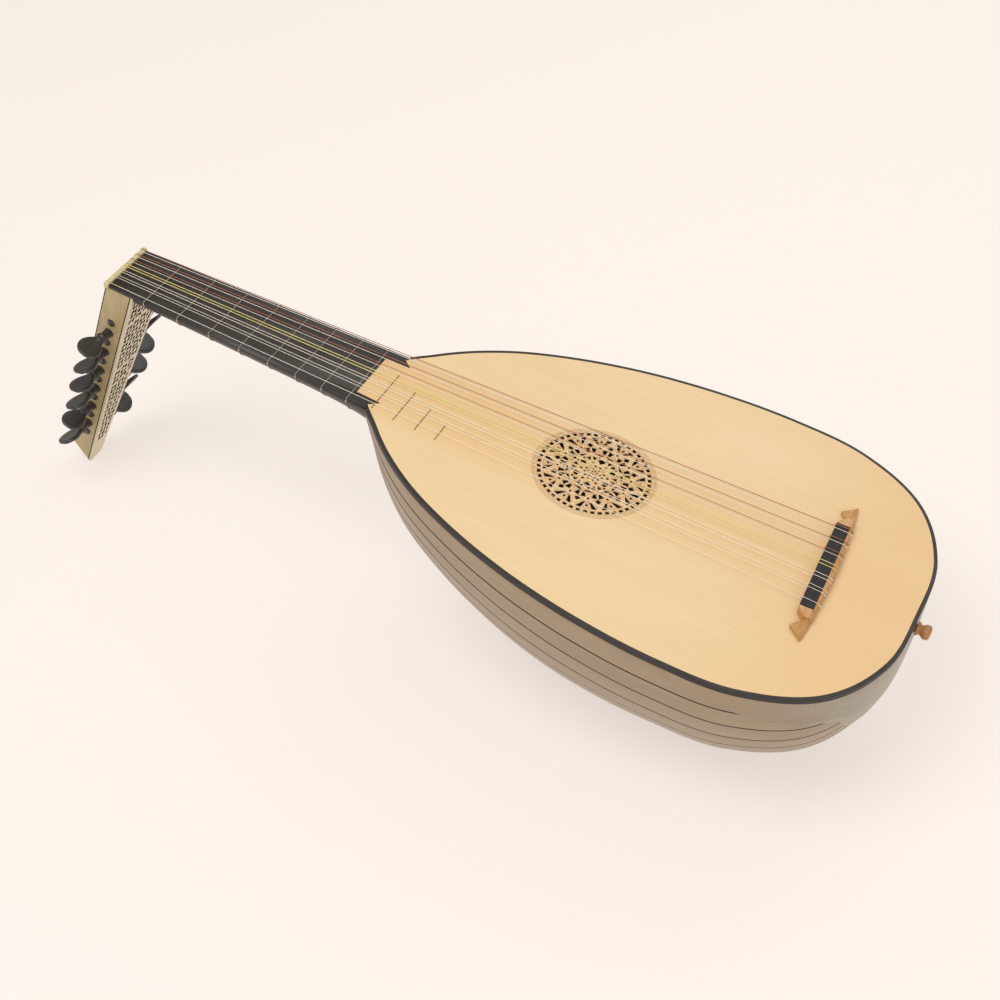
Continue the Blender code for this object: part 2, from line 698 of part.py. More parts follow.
def make_soundboard():
    loops = [soundboard_outline(), *rose_openings()]
    board = flat_outline("soundboard", loops, SOUNDBOARD_THICKNESS, SPRUCE)
    board.location = (0, 0, -SOUNDBOARD_THICKNESS / 2)
    board = as_mesh(board)
    rose = merged_plate(
        "rose", rose_faces(), -SOUNDBOARD_THICKNESS + ROSE_FLOOR_RECESS, -ROSE_RECESS, SPRUCE, CUTTERS
    )
    rose.location = (ROSE_X, 0, 0)
    combine(board, hide(rose), "UNION")
    under = -SOUNDBOARD_THICKNESS
    pieces = []
    for i, x in enumerate(BAR_STATIONS):
        half = rim_half_width(x, RIB_INSET + RIB_THICKNESS + BINDING_WIDTH + BINDING_LEDGE)
        pieces.append(
            box(f"bar_{i}", (x - BAR_WIDTH / 2, -half, under - BAR_HEIGHT), (x + BAR_WIDTH / 2, half, under + GAP))
        )
    for number, start, end in BODY_FRETS:
        x = fret_x(number)
        low = (x - BODY_FRET_WIDTH / 2, max(start, -TONGUE_HALF_WIDTH + BODY_FRET_WIDTH) if number == 9 else start, -GAP)
        pieces.append(box(f"body_fret_{number}", low, (x + BODY_FRET_WIDTH / 2, end, BODY_FRET_HEIGHT)))
    combine(board, joined("soundboard_bars", pieces), "UNION")
    merge_flats(board)


# Neck, fingerboard, nut and frets

def fret_x(number):
    return NUT_X + STRING_LENGTH * (1 - 2 ** (-number / 12))


def neck_half_width(x):
    share = (x - NUT_X) / (NECK_JOINT_X - NUT_X)
    return NUT_HALF_WIDTH + (JOINT_HALF_WIDTH - NUT_HALF_WIDTH) * share


def neck_depth(x):
    share = (x - NUT_X) / (NECK_JOINT_X - NUT_X)
    return (
        NECK_DEPTH_AT_NUT
        + (NECK_DEPTH_AT_HEEL - NECK_DEPTH_AT_NUT) * share
        + HEEL_DEPTH * math.exp((x - NECK_JOINT_X) / HEEL_LENGTH)
    )


def neck_section(x, out=0.0, top=-FINGERBOARD_THICKNESS - GAP, between_edges=False):
    """Half-round, a little pointed, from the treble edge round under the neck to the bass edge."""
    a, b = neck_half_width(x) + out, neck_depth(x) + top + out
    points = []
    for i in range(NECK_SIDES + 1 - round(between_edges)):
        t = math.pi * (i + between_edges / 2) / NECK_SIDES
        y = -math.copysign(a * abs(math.cos(t)) ** NECK_SHAPE, math.cos(t)) if abs(t - math.pi / 2) > 1e-6 else 0.0
        points.append((y, top - b * math.sin(t) ** NECK_SHAPE))
    return points


def pegbox_back_x(z):
    """Where the outside of the pegbox's back is, at a height."""
    lean = math.radians(PEGBOX_LEAN)
    return NUT_X - PEGBOX_X + PEGBOX_DEPTH_TOP / math.cos(lean) + z * math.tan(lean)


def make_neck():
    end = NECK_JOINT_X - GAP
    start = pegbox_back_x(0) + NECK_DEPTH_AT_NUT * 0.05
    sections = [[(pegbox_back_x(z) + 2 * GAP, y, z) for y, z in neck_section(start)]]
    for s in np.linspace(0.06, 1, NECK_STATIONS):
        x = start + (end - start) * s
        sections.append([(x, y, z) for y, z in neck_section(x)])
    neck = loft("neck", sections, BLACK_WOOD)
    for number in range(1, TIED_FRETS + 1):
        combine(neck, tied_fret(number), "UNION")
    merge_flats(neck)


def tied_fret(number):
    x = fret_x(number)
    r = FRET_DIAMETER / 2
    under = neck_section(x, out=r - FRET_SINK / 2, between_edges=True)
    top = GAP + r
    edge = neck_half_width(x) + GAP + r
    loop = [(-edge, -FINGERBOARD_THICKNESS), *under, (edge, -FINGERBOARD_THICKNESS), (edge, top - r), (edge - r, top), (-edge + r, top), (-edge, top - r)]
    gut = tube(f"tied_fret_{number}", [(x, y, z) for y, z in loop], r, BONE, resolution=0, closed=True, collection=CUTTERS)
    return hide(as_mesh(gut, CUTTERS))


def make_fingerboard():
    end = NECK_JOINT_X - GAP
    tip_x, tip_y = POINT_TIP
    root_x, root_y = POINT_ROOT
    bass = [
        (NUT_X, NUT_HALF_WIDTH),
        (end, JOINT_HALF_WIDTH),
        (root_x, root_y),
        (tip_x, tip_y),
        (TONGUE_X, TONGUE_HALF_WIDTH),
    ]
    outline = bass + [(x, -y) for x, y in bass[::-1]]
    board = flat_outline("fingerboard", [outline], FINGERBOARD_THICKNESS, BLACK_WOOD)
    board.location = (0, 0, -FINGERBOARD_THICKNESS / 2)


def make_nut(strings):
    front = NUT_X - GAP
    half = NUT_HALF_WIDTH + NUT_OVERHANG
    nut = box("nut", (front - NUT_LENGTH, -half, NUT_BOTTOM), (front, half, NUT_TOP), BONE, PARTS)
    bevel = nut.modifiers.new("rounded", "BEVEL")
    bevel.width = 0.0006
    bevel.segments = 1
    bevel.limit_method = "ANGLE"
    slots = []
    for string in strings:
        r = string["diameter"] / 2 + GAP
        y, z = string["nut_y"], STRING_HEIGHT_AT_NUT
        ends = []
        for x in (front + GAP, front - NUT_LENGTH - GAP):
            ends.append([(x, y - r, NUT_TOP + GAP), (x, y - r, z), (x, y - r / 2, z - r), (x, y + r / 2, z - r), (x, y + r, z), (x, y + r, NUT_TOP + GAP)])
        slots.append(loft("slot", ends, BONE, CUTTERS))
    combine(nut, joined("nut_slots", slots), "DIFFERENCE")


# Bridge

def bridge_frame():
    turn = Matrix.Rotation(math.radians(BRIDGE_SKEW), 4, "Z")
    return Matrix.Translation((BRIDGE_X, BRIDGE_OFFSET, 0)) @ turn


def bridge_plan():
    """The bridge's plan: x back from the string line, y along it."""
    half = [
        (0.0, CAP_HALF_LENGTH + 0.0015),
        (WING_WAIST[0] * 0.75, WING_WAIST[1] - 0.0035),
        WING_WAIST,
        (WING_LOBE[0] + 0.0010, WING_LOBE[1] - 0.0020),
        WING_LOBE,
        (WING_LOBE[0] + 0.0020, WING_LOBE[1] + 0.0022),
        WING_TIP,
        (WING_TIP[0] + 0.0014, WING_TIP[1] - 0.0070),
        WING_SHOULDER,
        (BRIDGE_DEPTH - 0.0008, CAP_HALF_LENGTH * 0.55),
    ]
    return half + [(BRIDGE_DEPTH, 0.0)] + [(x, -y) for x, y in half[::-1]]


def make_bridge(strings):
    plan = bridge_plan()
    body = flat_outline("bridge", [plan], BRIDGE_HEIGHT, BRIDGE_WOOD)
    body = as_mesh(body)
    for corner in body.data.vertices:
        out = abs(corner.co.y)
        past = max(0.0, out - CAP_HALF_LENGTH - 0.001) / (WING_TIP[1] - CAP_HALF_LENGTH)
        behind = max(0.0, corner.co.x - CAP_DEPTH) / BRIDGE_DEPTH
        if corner.co.z > 0:
            height = BRIDGE_HEIGHT - (BRIDGE_HEIGHT - WING_TIP_HEIGHT) * min(1.0, 1.15 * past)
            corner.co.z = GAP + height * (1 - 0.9 * behind)
        else:
            corner.co.z = GAP
    body.matrix_world = bridge_frame()
    seat = (
        -CAP_DEPTH, -CAP_HALF_LENGTH - GAP, BRIDGE_HEIGHT + GAP - CAP_THICKNESS,
    )
    pocket = box("cap_seat", seat, (CAP_DEPTH + GAP, CAP_HALF_LENGTH + GAP, BRIDGE_HEIGHT + 4 * GAP))
    pocket.matrix_world = bridge_frame()
    combine(body, hide(pocket), "DIFFERENCE")
    holes = []
    for string in strings:
        start, end = string["hole"]
        run = (end - start).normalized() * 0.003
        holes.append(cylinder("string_hole", STRING_HOLE / 2, STRING_HOLE / 2, start - run, end + run, 8))
    combine(body, joined("bridge_holes", holes), "DIFFERENCE")
    merge_flats(body)
    low = BRIDGE_HEIGHT + 2 * GAP - CAP_THICKNESS
    cap = box(
        "bridge_cap", (0, -CAP_HALF_LENGTH, low), (CAP_DEPTH, CAP_HALF_LENGTH, low + CAP_THICKNESS),
        BLACK_WOOD, PARTS,
    )
    cap.matrix_world = bridge_frame()
    rounded = cap.modifiers.new("rounded", "BEVEL")
    rounded.width = 0.0004
    rounded.segments = 1


# Pegbox

def pegbox_axes():
    lean = math.radians(PEGBOX_LEAN)
    down = Vector((-math.sin(lean), 0, -math.cos(lean)))
    back = Vector((math.cos(lean), 0, -math.sin(lean)))
    return Vector((NUT_X - PEGBOX_X, 0, 0)), down, back


def pegbox_point(s, q, y):
    """s runs down the pegbox, q from its open front to its back."""
    origin, down, back = pegbox_axes()
    return origin + down * s + back * q + Vector((0, y, 0))


def top_cut(q):
    """Where the pegbox's top is cut level, under the fingerboard and the nut."""
    lean = math.radians(PEGBOX_LEAN)
    return (FINGERBOARD_THICKNESS + GAP + max(0.0, -NUT_BOTTOM - FINGERBOARD_THICKNESS) - q * math.sin(lean)) / math.cos(lean)


def pegbox_half_width(s):
    return NUT_HALF_WIDTH - (NUT_HALF_WIDTH - PEGBOX_TIP_HALF_WIDTH) * s / PEGBOX_LENGTH


def pegbox_depth(s):
    return PEGBOX_DEPTH_TOP - (PEGBOX_DEPTH_TOP - PEGBOX_DEPTH_TIP) * s / PEGBOX_LENGTH


def toe(q):
    """The slanted lower end."""
    return PEGBOX_LENGTH + PEGBOX_TOE * q / PEGBOX_DEPTH_TIP


def inner_half_width(s):
    """From the pegbox's middle to the inside of a cheek."""
    grown = (CHEEK_THICKNESS_TIP - CHEEK_THICKNESS_TOP) * s / PEGBOX_LENGTH
    return pegbox_half_width(s) - CHEEK_THICKNESS_TOP - grown


def make_cheek(name, side, pegs):
    inner_q = PANEL_THICKNESS + GAP
    corners = []
    for s_of, q in ((top_cut, 0.0), (toe, 0.0)):
        corners.append((s_of(q), q))
    q_tip = pegbox_depth(PEGBOX_LENGTH) - inner_q
    corners.append((toe(q_tip), q_tip))
    q_top = pegbox_depth(0) - inner_q
    corners.append((top_cut(q_top), q_top))
    outer = [pegbox_point(s, q, side * pegbox_half_width(s)) for s, q in corners]
    inner = [pegbox_point(s, q, side * inner_half_width(s)) for s, q in corners]
    cheek = loft(name, [outer, inner], PALE_WOOD)
    holes = []
    for peg in pegs:
        reach = NUT_HALF_WIDTH * 1.5
        a = peg["centre"] + peg_axis() * peg["side"] * reach
        b = peg["centre"] - peg_axis() * peg["side"] * reach
        holes.append(
            cylinder("peg_hole", peg_radius(peg, -reach) + PEG_CLEARANCE, peg_radius(peg, reach) + PEG_CLEARANCE, a, b, PEG_SIDES)
        )
    combine(cheek, joined(name + "_holes", holes), "DIFFERENCE")
    merge_flats(cheek)


def panel_holes():
    """Rows of leaf-shaped holes in a lattice, fewer in a row as the panel narrows."""
    holes = []
    start = HEAD_BLOCK_LENGTH * 0.35
    stop = PEGBOX_LENGTH - TIP_BLOCK_LENGTH * 0.5
    pitch = (stop - start) / PANEL_ROWS
    for row in range(PANEL_ROWS):
        s = start + pitch * (row + 0.5)
        field = 2 * (pegbox_half_width(s) - PANEL_MARGIN)
        count = max(1, round(field / (0.95 * pitch)))
        if row % 2 and count > 1:
            count -= 1
        width = field / max(1, round(field / (0.95 * pitch)))
        for i in range(count):
            y = (i - (count - 1) / 2) * width
            a, b = (pitch - PANEL_BRIDGE) / 2, (width - PANEL_BRIDGE) / 2
            corners = ((-1, 0), (-0.35, -1), (0.35, -1), (1, 0), (0.35, 1), (-0.35, 1))
            holes.append([(s + a * u, y + b * v) for u, v in corners])
    return holes


def make_pegbox_back():
    """The pierced back, with the blocks that close the pegbox at its top and its tip."""
    end = toe(PEGBOX_DEPTH_TIP)
    top = top_cut(pegbox_depth(0))
    outline = [
        (top, -pegbox_half_width(top)), (end, -pegbox_half_width(end)),
        (end, pegbox_half_width(end)), (top, pegbox_half_width(top)),
    ]
    panel = flat_outline("pegbox_back", [outline, *panel_holes()], PANEL_THICKNESS, PALE_WOOD)
    origin, down, back = pegbox_axes()
    slope = math.atan((PEGBOX_DEPTH_TOP - PEGBOX_DEPTH_TIP) / PEGBOX_LENGTH)
    along = down * math.cos(slope) - back * math.sin(slope)
    out = down * math.sin(slope) + back * math.cos(slope)
    middle = origin + back * PEGBOX_DEPTH_TOP - out * PANEL_THICKNESS / 2
    panel.matrix_world = Matrix(
        ((along.x, 0, out.x, middle.x), (0, 1, 0, 0), (along.z, 0, out.z, middle.z), (0, 0, 0, 1))
    )
    panel = as_mesh(panel)
    for name, start, stop, fronts in (
        ("head_block", top_cut, lambda q: HEAD_BLOCK_LENGTH, (HEAD_BLOCK_FRONT, HEAD_BLOCK_FOOT)),
        ("tip_block", lambda q: PEGBOX_LENGTH - TIP_BLOCK_LENGTH, lambda q: toe(q) - GAP, (0.0, 0.0)),
    ):
        side_on = [(start(fronts[0]), fronts[0]), (stop(fronts[1]), fronts[1])]
        for s_of in (stop, start):
            depth = pegbox_depth(s_of(PEGBOX_DEPTH_TIP)) - PANEL_THICKNESS / 2
            side_on.append((s_of(depth), depth))
        ends = []
        for side in (-1, 1):
            ends.append([pegbox_point(s, q, side * (inner_half_width(s) - GAP)) for s, q in side_on])
        combine(panel, hide(loft(name, ends, PALE_WOOD, CUTTERS)), "UNION")
    merge_flats(panel)


# Pegs

def peg_list():
    """Pegs stand alternately on the bass and the treble side, the first nearest the nut."""
    pegs = []
    for i in range(sum(len(course) for course in COURSE_DIAMETERS)):
        side = 1 if i % 2 == 0 else -1
        s = PEG_FIRST + PEG_STEP * i
        q = pegbox_depth(s) / 2 + PEG_SET_BACK
        half = pegbox_half_width(s)
        pegs.append({"s": s, "side": side, "centre": pegbox_point(s, q, 0), "half": half, "turn": PEG_TURNS[i]})
    return pegs


def peg_axis():
    """Along every peg, from the treble side to the bass side."""
    splay = math.radians(PEG_SPLAY)
    return Vector((math.sin(splay), math.cos(splay), 0))


def peg_radius(peg, across):
    """across is measured from the pegbox's middle away from the head."""
    return PEG_RADIUS_HEAD - PEG_TAPER / 2 * (across + peg["half"])


def make_peg(name, peg):
    half = peg["half"]
    slope = (NUT_HALF_WIDTH - PEGBOX_TIP_HALF_WIDTH) / PEGBOX_LENGTH
    tip = -half - PEG_TIP_OVERHANG - slope * PEG_RADIUS_HEAD
    face = half + slope * PEG_RADIUS_HEAD + GAP
    head = half + PEG_NECK
    collar = PEG_COLLAR_RADIUS
    outline = (
        (0, head + PEG_HEAD_LENGTH * 0.25),
        (PEG_HEAD_THICKNESS * 0.42, head + 0.0012),
        (collar, head - 0.0026),
        (collar, head - 0.0044),
        (PEG_RADIUS_HEAD * 0.92, head - 0.0062),
        (peg_radius(peg, -face), face),
        (peg_radius(peg, -tip), tip),
        (0, tip),
    )
    shaft = turned(name, outline, PEG_SIDES, BLACK_WOOD)
    thumb = peg_head(name + "_head", head)
    combine(shaft, hide(thumb), "UNION")
    stand = Matrix.Rotation(-math.radians(PEG_SPLAY), 4, "Z") @ Matrix.Rotation(-peg["side"] * math.radians(90), 4, "X")
    turn = Matrix.Rotation(math.radians(peg["turn"]), 4, "Z")
    shaft.matrix_world = Matrix.Translation(peg["centre"]) @ stand @ turn
    thumb.matrix_world = shaft.matrix_world


def peg_head(name, start):
    """A flat thumb piece, broad and a little hollow-sided, from a coarse cage."""
    w, t, length = PEG_HEAD_WIDTH / 2, PEG_HEAD_THICKNESS / 2, PEG_HEAD_LENGTH
    levels = ((0.0, 0.40, 1.0), (0.45, 1.25, 0.70), (1.0, 0.90, 0.55))
    sections = []
    for along, wide, thick in levels:
        z = start + length * (along * 1.08)
        sections.append([(wide * w, thick * t, z), (0, thick * t * 1.05, z), (-wide * w, thick * t, z), (-wide * w, -thick * t, z), (0, -thick * t * 1.05, z), (wide * w, -thick * t, z)])
    head = loft(name, sections, BLACK_WOOD, CUTTERS)
    soft = head.modifiers.new("soft", "SUBSURF")
    soft.levels = 1
    soft.render_levels = 1
    return head


# Strings

def string_list(pegs):
    """Every string with its ends. Treble strings go to the treble side's pegs, outermost string to the first."""
    strings = []
    frame = bridge_frame()
    for course, diameters in enumerate(COURSE_DIAMETERS, start=1):
        if course == 1:
            nut_middle = FIRST_STRING_AT_NUT
        else:
            nut_middle = SECOND_COURSE_AT_NUT + COURSE_STEP_AT_NUT * (course - 2)
        bridge_middle = FIRST_STRING_AT_BRIDGE + COURSE_STEP_AT_BRIDGE * (course - 1)
        for i, diameter in enumerate(diameters):
            side = i - (len(diameters) - 1) / 2
            name = f"string_{course}" + ("" if len(diameters) == 1 else "ab"[i])
            along = bridge_middle + side * PAIR_STEP_AT_BRIDGE
            front = frame @ Vector((0, along, STRING_HEIGHT_AT_BRIDGE))
            nut_y = nut_middle + side * PAIR_STEP_AT_NUT
            nut = Vector((NUT_X, nut_y, STRING_HEIGHT_AT_NUT))
            run = (front - nut).normalized()
            level = Vector((run.x, run.y, 0)).normalized()
            back = front + level * (BRIDGE_DEPTH * 1.04)
            strings.append(
                {"name": name, "course": course, "partner": i, "diameter": diameter, "nut_y": nut_y,
                 "front": front, "level": level, "hole": (front - level * 0.001, back), "nut": nut}
            )
    treble = [p for p in pegs if p["side"] < 0]
    bass = [p for p in pegs if p["side"] > 0]
    for string, peg in zip(strings[: len(treble)], treble):
        string["peg"] = peg
    for string, peg in zip(strings[::-1], bass):
        string["peg"] = peg
    return strings


def bridge_loop(string):
    """The end that comes out behind the bridge, over the cap and down its front to where it is tied."""
    r = string["diameter"] / 2
    front, level = string["front"], string["level"]
    up = Vector((0, 0, 1))
    over = up * (BRIDGE_HEIGHT + 3 * GAP + r - front.z)
    before = -level * (2 * GAP + r)
    behind = level * (BRIDGE_DEPTH * 1.04 + r + GAP)
    return [
        front + before + up * (2 * r + 0.0006),
        front + before + over,
        front + level * 0.0010 + over + up * 0.00015,
        front + level * (CAP_DEPTH + GAP) + over + up * 0.00015,
        front + behind + up * 0.0004,
        front + level * (BRIDGE_DEPTH * 0.97),
        front - level * 0.0015,
    ]


def winding(string):
    """From the nut down to the peg, then turns round its shaft, stepping out towards the head."""
    peg = string["peg"]
    r = string["diameter"] / 2
    splay = Matrix.Rotation(-math.radians(PEG_SPLAY), 3, "Z")
    origin, down, back = pegbox_axes()
    down, back = splay @ down, splay @ back
    room = inner_half_width(peg["s"]) - 3 * GAP - r - PEG_RADIUS_HEAD * math.sin(math.radians(PEG_SPLAY))
    y_end = peg["side"] * room
    y_start = y_end * WINDING_START
    shaft = peg_radius(peg, -room) + 0.00005
    radius = shaft + WINDING_CLEARANCE + r
    lip = Vector((NUT_X - GAP - NUT_LENGTH, string["nut_y"], STRING_HEIGHT_AT_NUT))
    leave = lip + Vector((-0.0003 - r, 0, -0.0006 - r))
    from_centre = leave - peg["centre"]
    m1, m2 = from_centre.dot(-back), from_centre.dot(down)
    start = math.atan2(m2, m1) + math.acos(radius / math.hypot(m1, m2))
    points = [lip + Vector((0.0, 0, -0.0001)), leave]
    count = round(WINDING_POINTS * WINDING_TURNS)
    for i in range(count + 1):
        share = i / count
        angle = start + 2 * math.pi * WINDING_TURNS * share
        side = peg_axis() * (y_start + (y_end - y_start) * share)
        around = (-back * math.cos(angle) + down * math.sin(angle)) * radius
        points.append(peg["centre"] + around + side)
    return points


def least_gap(points, diameter):
    """The least clear space between turns, measured between points half a turn or more apart."""
    apart = [
        (a - b).length - diameter
        for i, a in enumerate(points)
        for b in points[i + WINDING_POINTS // 2 :]
    ]
    return min(apart)


def make_string(string):
    finish = WHITE_STRING
    if string["course"] == 4:
        finish = YELLOW_STRING
    if string["course"] > 4 and string["partner"] == 1:
        finish = RED_STRING
    turns = winding(string)
    points = bridge_loop(string) + [string["nut"]] + turns
    tube(string["name"], points, string["diameter"] / 2, finish)
    return least_gap(turns[2:], string["diameter"])


pegs = peg_list()
strings = string_list(pegs)
make_ribs()
make_edge_binding()
make_neck_block()
make_tail_block()
make_end_button()
make_soundboard()
make_neck()
make_fingerboard()
make_nut(strings)
make_bridge(strings)
make_cheek("pegbox_cheek_treble", -1, pegs)
make_cheek("pegbox_cheek_bass", 1, pegs)
make_pegbox_back()
for item in strings:
    make_peg("peg_" + item["name"].split("_")[1], item["peg"])
gaps = [make_string(item) for item in strings]
print(f"least gap between turns of a winding: {min(gaps) * 1000:.2f} mm")
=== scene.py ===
import json
import math
import random
from functools import partial

import bmesh
import bpy
import numpy as np
from mathutils import Matrix, Vector
from mathutils.geometry import delaunay_2d_cdt

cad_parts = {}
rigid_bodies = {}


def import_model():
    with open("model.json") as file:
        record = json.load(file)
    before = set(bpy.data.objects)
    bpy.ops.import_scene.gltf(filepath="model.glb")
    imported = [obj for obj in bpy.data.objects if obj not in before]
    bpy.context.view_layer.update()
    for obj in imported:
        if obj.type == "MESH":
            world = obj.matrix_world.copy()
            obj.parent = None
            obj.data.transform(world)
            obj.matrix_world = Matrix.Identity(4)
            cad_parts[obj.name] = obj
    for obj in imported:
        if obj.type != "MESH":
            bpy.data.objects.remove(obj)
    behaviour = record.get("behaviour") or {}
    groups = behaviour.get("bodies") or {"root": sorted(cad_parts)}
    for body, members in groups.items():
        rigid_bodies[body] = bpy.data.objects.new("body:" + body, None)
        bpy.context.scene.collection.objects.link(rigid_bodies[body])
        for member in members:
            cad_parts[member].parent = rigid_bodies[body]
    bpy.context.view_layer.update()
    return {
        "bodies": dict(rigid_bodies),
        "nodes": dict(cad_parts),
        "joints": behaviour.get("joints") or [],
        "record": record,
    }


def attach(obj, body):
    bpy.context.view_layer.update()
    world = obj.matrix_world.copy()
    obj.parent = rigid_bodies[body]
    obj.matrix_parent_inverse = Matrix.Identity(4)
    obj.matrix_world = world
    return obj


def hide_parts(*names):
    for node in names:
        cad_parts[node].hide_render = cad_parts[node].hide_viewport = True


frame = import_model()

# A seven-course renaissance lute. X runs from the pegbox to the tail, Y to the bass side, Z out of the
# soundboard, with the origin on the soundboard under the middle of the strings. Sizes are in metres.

gap = 0.0003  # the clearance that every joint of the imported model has
lute = "lute"
scene = bpy.context.scene


def linear(code):  # "#rrggbb" as seen on a screen, to the linear colour that shaders take
    parts = [int(code[i:i + 2], 16) / 255 for i in (1, 3, 5)]
    return tuple(p / 12.92 if p <= 0.04045 else ((p + 0.055) / 1.055) ** 2.4 for p in parts) + (1.0,)


def addNode(tree, kind, links=(), **settings):
    # A node with its settings. Links give its sockets, by number or name, a value, a node or several nodes.
    node = tree.nodes.new(kind)
    for name, value in settings.items():
        setattr(node, name, value)
    for socket, value in links.items() if isinstance(links, dict) else enumerate(links):
        for source in value if isinstance(value, list) else [value]:
            if isinstance(source, bpy.types.Node):
                source = next(end for end in source.outputs if end.enabled)
            if isinstance(source, bpy.types.NodeSocket):
                tree.links.new(source, node.inputs[socket])
            else:
                node.inputs[socket].default_value = source
    return node


# Camera and light

view = {
    "place": (0.4046941, -1.0532120, 1.0200850),
    "turn": (45.0789922, -7.6851301, 26.2881261),
    "lens": 70.786,
}
camera = bpy.data.objects.new("camera", bpy.data.cameras.new("camera"))
camera.location = view["place"]
camera.rotation_euler = [math.radians(a) for a in view["turn"]]
camera.data.lens = view["lens"]
camera.data.sensor_width = 36
scene.collection.objects.link(camera)
scene.camera = camera
scene.view_settings.view_transform = "Standard"

lights = (  # name, where it stands, what it faces, size, watts
    ("keyLight", (-0.5, -0.9, 1.7), (0.05, 0, -0.05), 1.3, 18.5),
    ("fillLight", (1.3, -0.6, 0.9), (0.1, 0, -0.05), 1.2, 3),
    ("backLight", (0.2, 1.4, 1.2), (0.1, 0, -0.05), 1.4, 6),
)
for name, place, target, size, watts in lights:
    lamp = bpy.data.lights.new(name, "AREA")
    lamp.shape = "DISK"
    lamp.size = size
    lamp.energy = watts
    stand = bpy.data.objects.new(name, lamp)
    stand.location = place
    stand.rotation_euler = (Vector(target) - Vector(place)).to_track_quat("-Z", "Y").to_euler()
    scene.collection.objects.link(stand)

studio = bpy.data.worlds.new("studio")
scene.world = studio
studio.use_nodes = True
studio.node_tree.nodes["Background"].inputs["Color"].default_value = linear("#fff8f1")
studio.node_tree.nodes["Background"].inputs["Strength"].default_value = 0.52
print("camera and lights stand")


# Materials

def newMaterial(name):  # with what adds a node to it
    material = bpy.data.materials.new(name)
    material.use_nodes = True
    material.node_tree.nodes.clear()
    return material, partial(addNode, material.node_tree)


def woodFinish(name, look):
    # Wood under a thin varnish: growth lines along the grain, slow changes of colour, and a little relief.
    material, add = newMaterial(name)
    place = add("ShaderNodeTexCoord").outputs["Object"]
    if look.get("follows"):
        place = add("ShaderNodeAttribute", attribute_name=look["follows"]).outputs["Vector"]
    early, late, warm = map(linear, look["colors"])  # between the growth lines, on them, and in patches
    along, across, deep = look["grain"]
    lines = add("ShaderNodeMapping", {"Vector": place, "Scale": (1 / along, 1 / across, 1 / deep)})
    lines = add("ShaderNodeTexNoise", {"Vector": lines, "Scale": 1.0, "Detail": 5.0, "Roughness": 0.62})
    cloud = add("ShaderNodeMapping", {"Vector": place, "Scale": look["cloud"]})
    cloud = add("ShaderNodeTexNoise", {"Vector": cloud, "Scale": 1.0, "Detail": 3.0, "Roughness": 0.5})
    ramp = add("ShaderNodeValToRGB", {"Fac": lines})
    for stop, position, tone in zip(ramp.color_ramp.elements, (0.30, 0.62), (late, early)):
        stop.position, stop.color = position, tone
    drift = add("ShaderNodeMapRange", (cloud, 0.35, 0.68, 0.0, look.get("drift", 0.5)))
    color = add("ShaderNodeMix", {0: drift, 6: ramp, 7: warm}, data_type="RGBA")
    if look.get("tune"):
        color = look["tune"](add, color)
    gloss = add("ShaderNodeMapRange", (lines, 0.3, 0.7, look["rough"][1], look["rough"][0]))
    relief = add("ShaderNodeBump", {"Height": lines, "Strength": look["relief"], "Distance": 0.0004})
    shader = add("ShaderNodeBsdfPrincipled", {
        "Base Color": color, "Roughness": gloss, "Normal": relief,
        "Coat Weight": look["coat"], "Coat Roughness": 0.25, "IOR": 1.5,
    })
    add("ShaderNodeOutputMaterial", {"Surface": shader})
    return material


blackWood = woodFinish("oiledEbony", {  # nearly black, with fine streaks that only show in the gloss
    "grain": (0.050, 0.0014, 0.0014), "cloud": (14, 40, 40), "colors": ("#3b3734", "#272422", "#322e2b"),
    "rough": (0.38, 0.50), "relief": 0.10, "coat": 0.08,
})
capWood = woodFinish("stainedCapWood", {  # stained black right through and left matt where the strings rub
    "grain": (0.0014, 0.030, 0.0014), "cloud": (50, 20, 50), "colors": ("#1f1a1b", "#141011", "#191415"),
    "rough": (0.55, 0.68), "relief": 0.10, "coat": 0.0,
})
bindingWood = woodFinish("dyedBindingWood", {  # dyed pearwood, a warm near-black rubbed down with the board
    "grain": (0.030, 0.030, 0.0010), "cloud": (16, 16, 40), "colors": ("#2c2622", "#1f1a18", "#262019"),
    "rough": (0.45, 0.58), "relief": 0.06, "coat": 0.04,
})
pegWood = woodFinish("turnedEbony", {  # turned and polished by hand, a soft sheen on the flats
    "grain": (0.0014, 0.040, 0.0014), "cloud": (40, 12, 40), "colors": ("#3a3734", "#262423", "#302d2a"),
    "rough": (0.30, 0.42), "relief": 0.06, "coat": 0.2,
})
bridgeWood = woodFinish("carvedPearwood", {  # pinkish-tan fruitwood, cut with a knife and rubbed smooth
    "grain": (0.0016, 0.030, 0.0016), "cloud": (60, 20, 60), "colors": ("#d7a86e", "#bd864b", "#b0773f"),
    "rough": (0.36, 0.48), "relief": 0.12, "coat": 0.15,
})
buttonWood = woodFinish("turnedPearwood", {  # the bridge's wood turned and handled, so a shade darker
    "grain": (0.020, 0.0016, 0.0016), "cloud": (20, 60, 60), "colors": ("#bf8c58", "#9c6b3b", "#94602f"),
    "rough": (0.30, 0.42), "relief": 0.10, "coat": 0.2,
})
fretWood = woodFinish("plumwoodSlips", {  # thin slips of plum glued on the board, a plain dark brown
    "grain": (0.0012, 0.020, 0.0012), "cloud": (60, 20, 60), "colors": ("#8f6e48", "#6d5032", "#765634"),
    "rough": (0.40, 0.52), "relief": 0.06, "coat": 0.1,
})
innerWood = woodFinish("bareSoftwood", {  # sawn and never varnished, so matt
    "grain": (0.080, 0.0020, 0.0020), "cloud": (12, 30, 30), "colors": ("#d9b27c", "#c0935a", "#b88a52"),
    "rough": (0.65, 0.80), "relief": 0.2, "coat": 0.0,
})
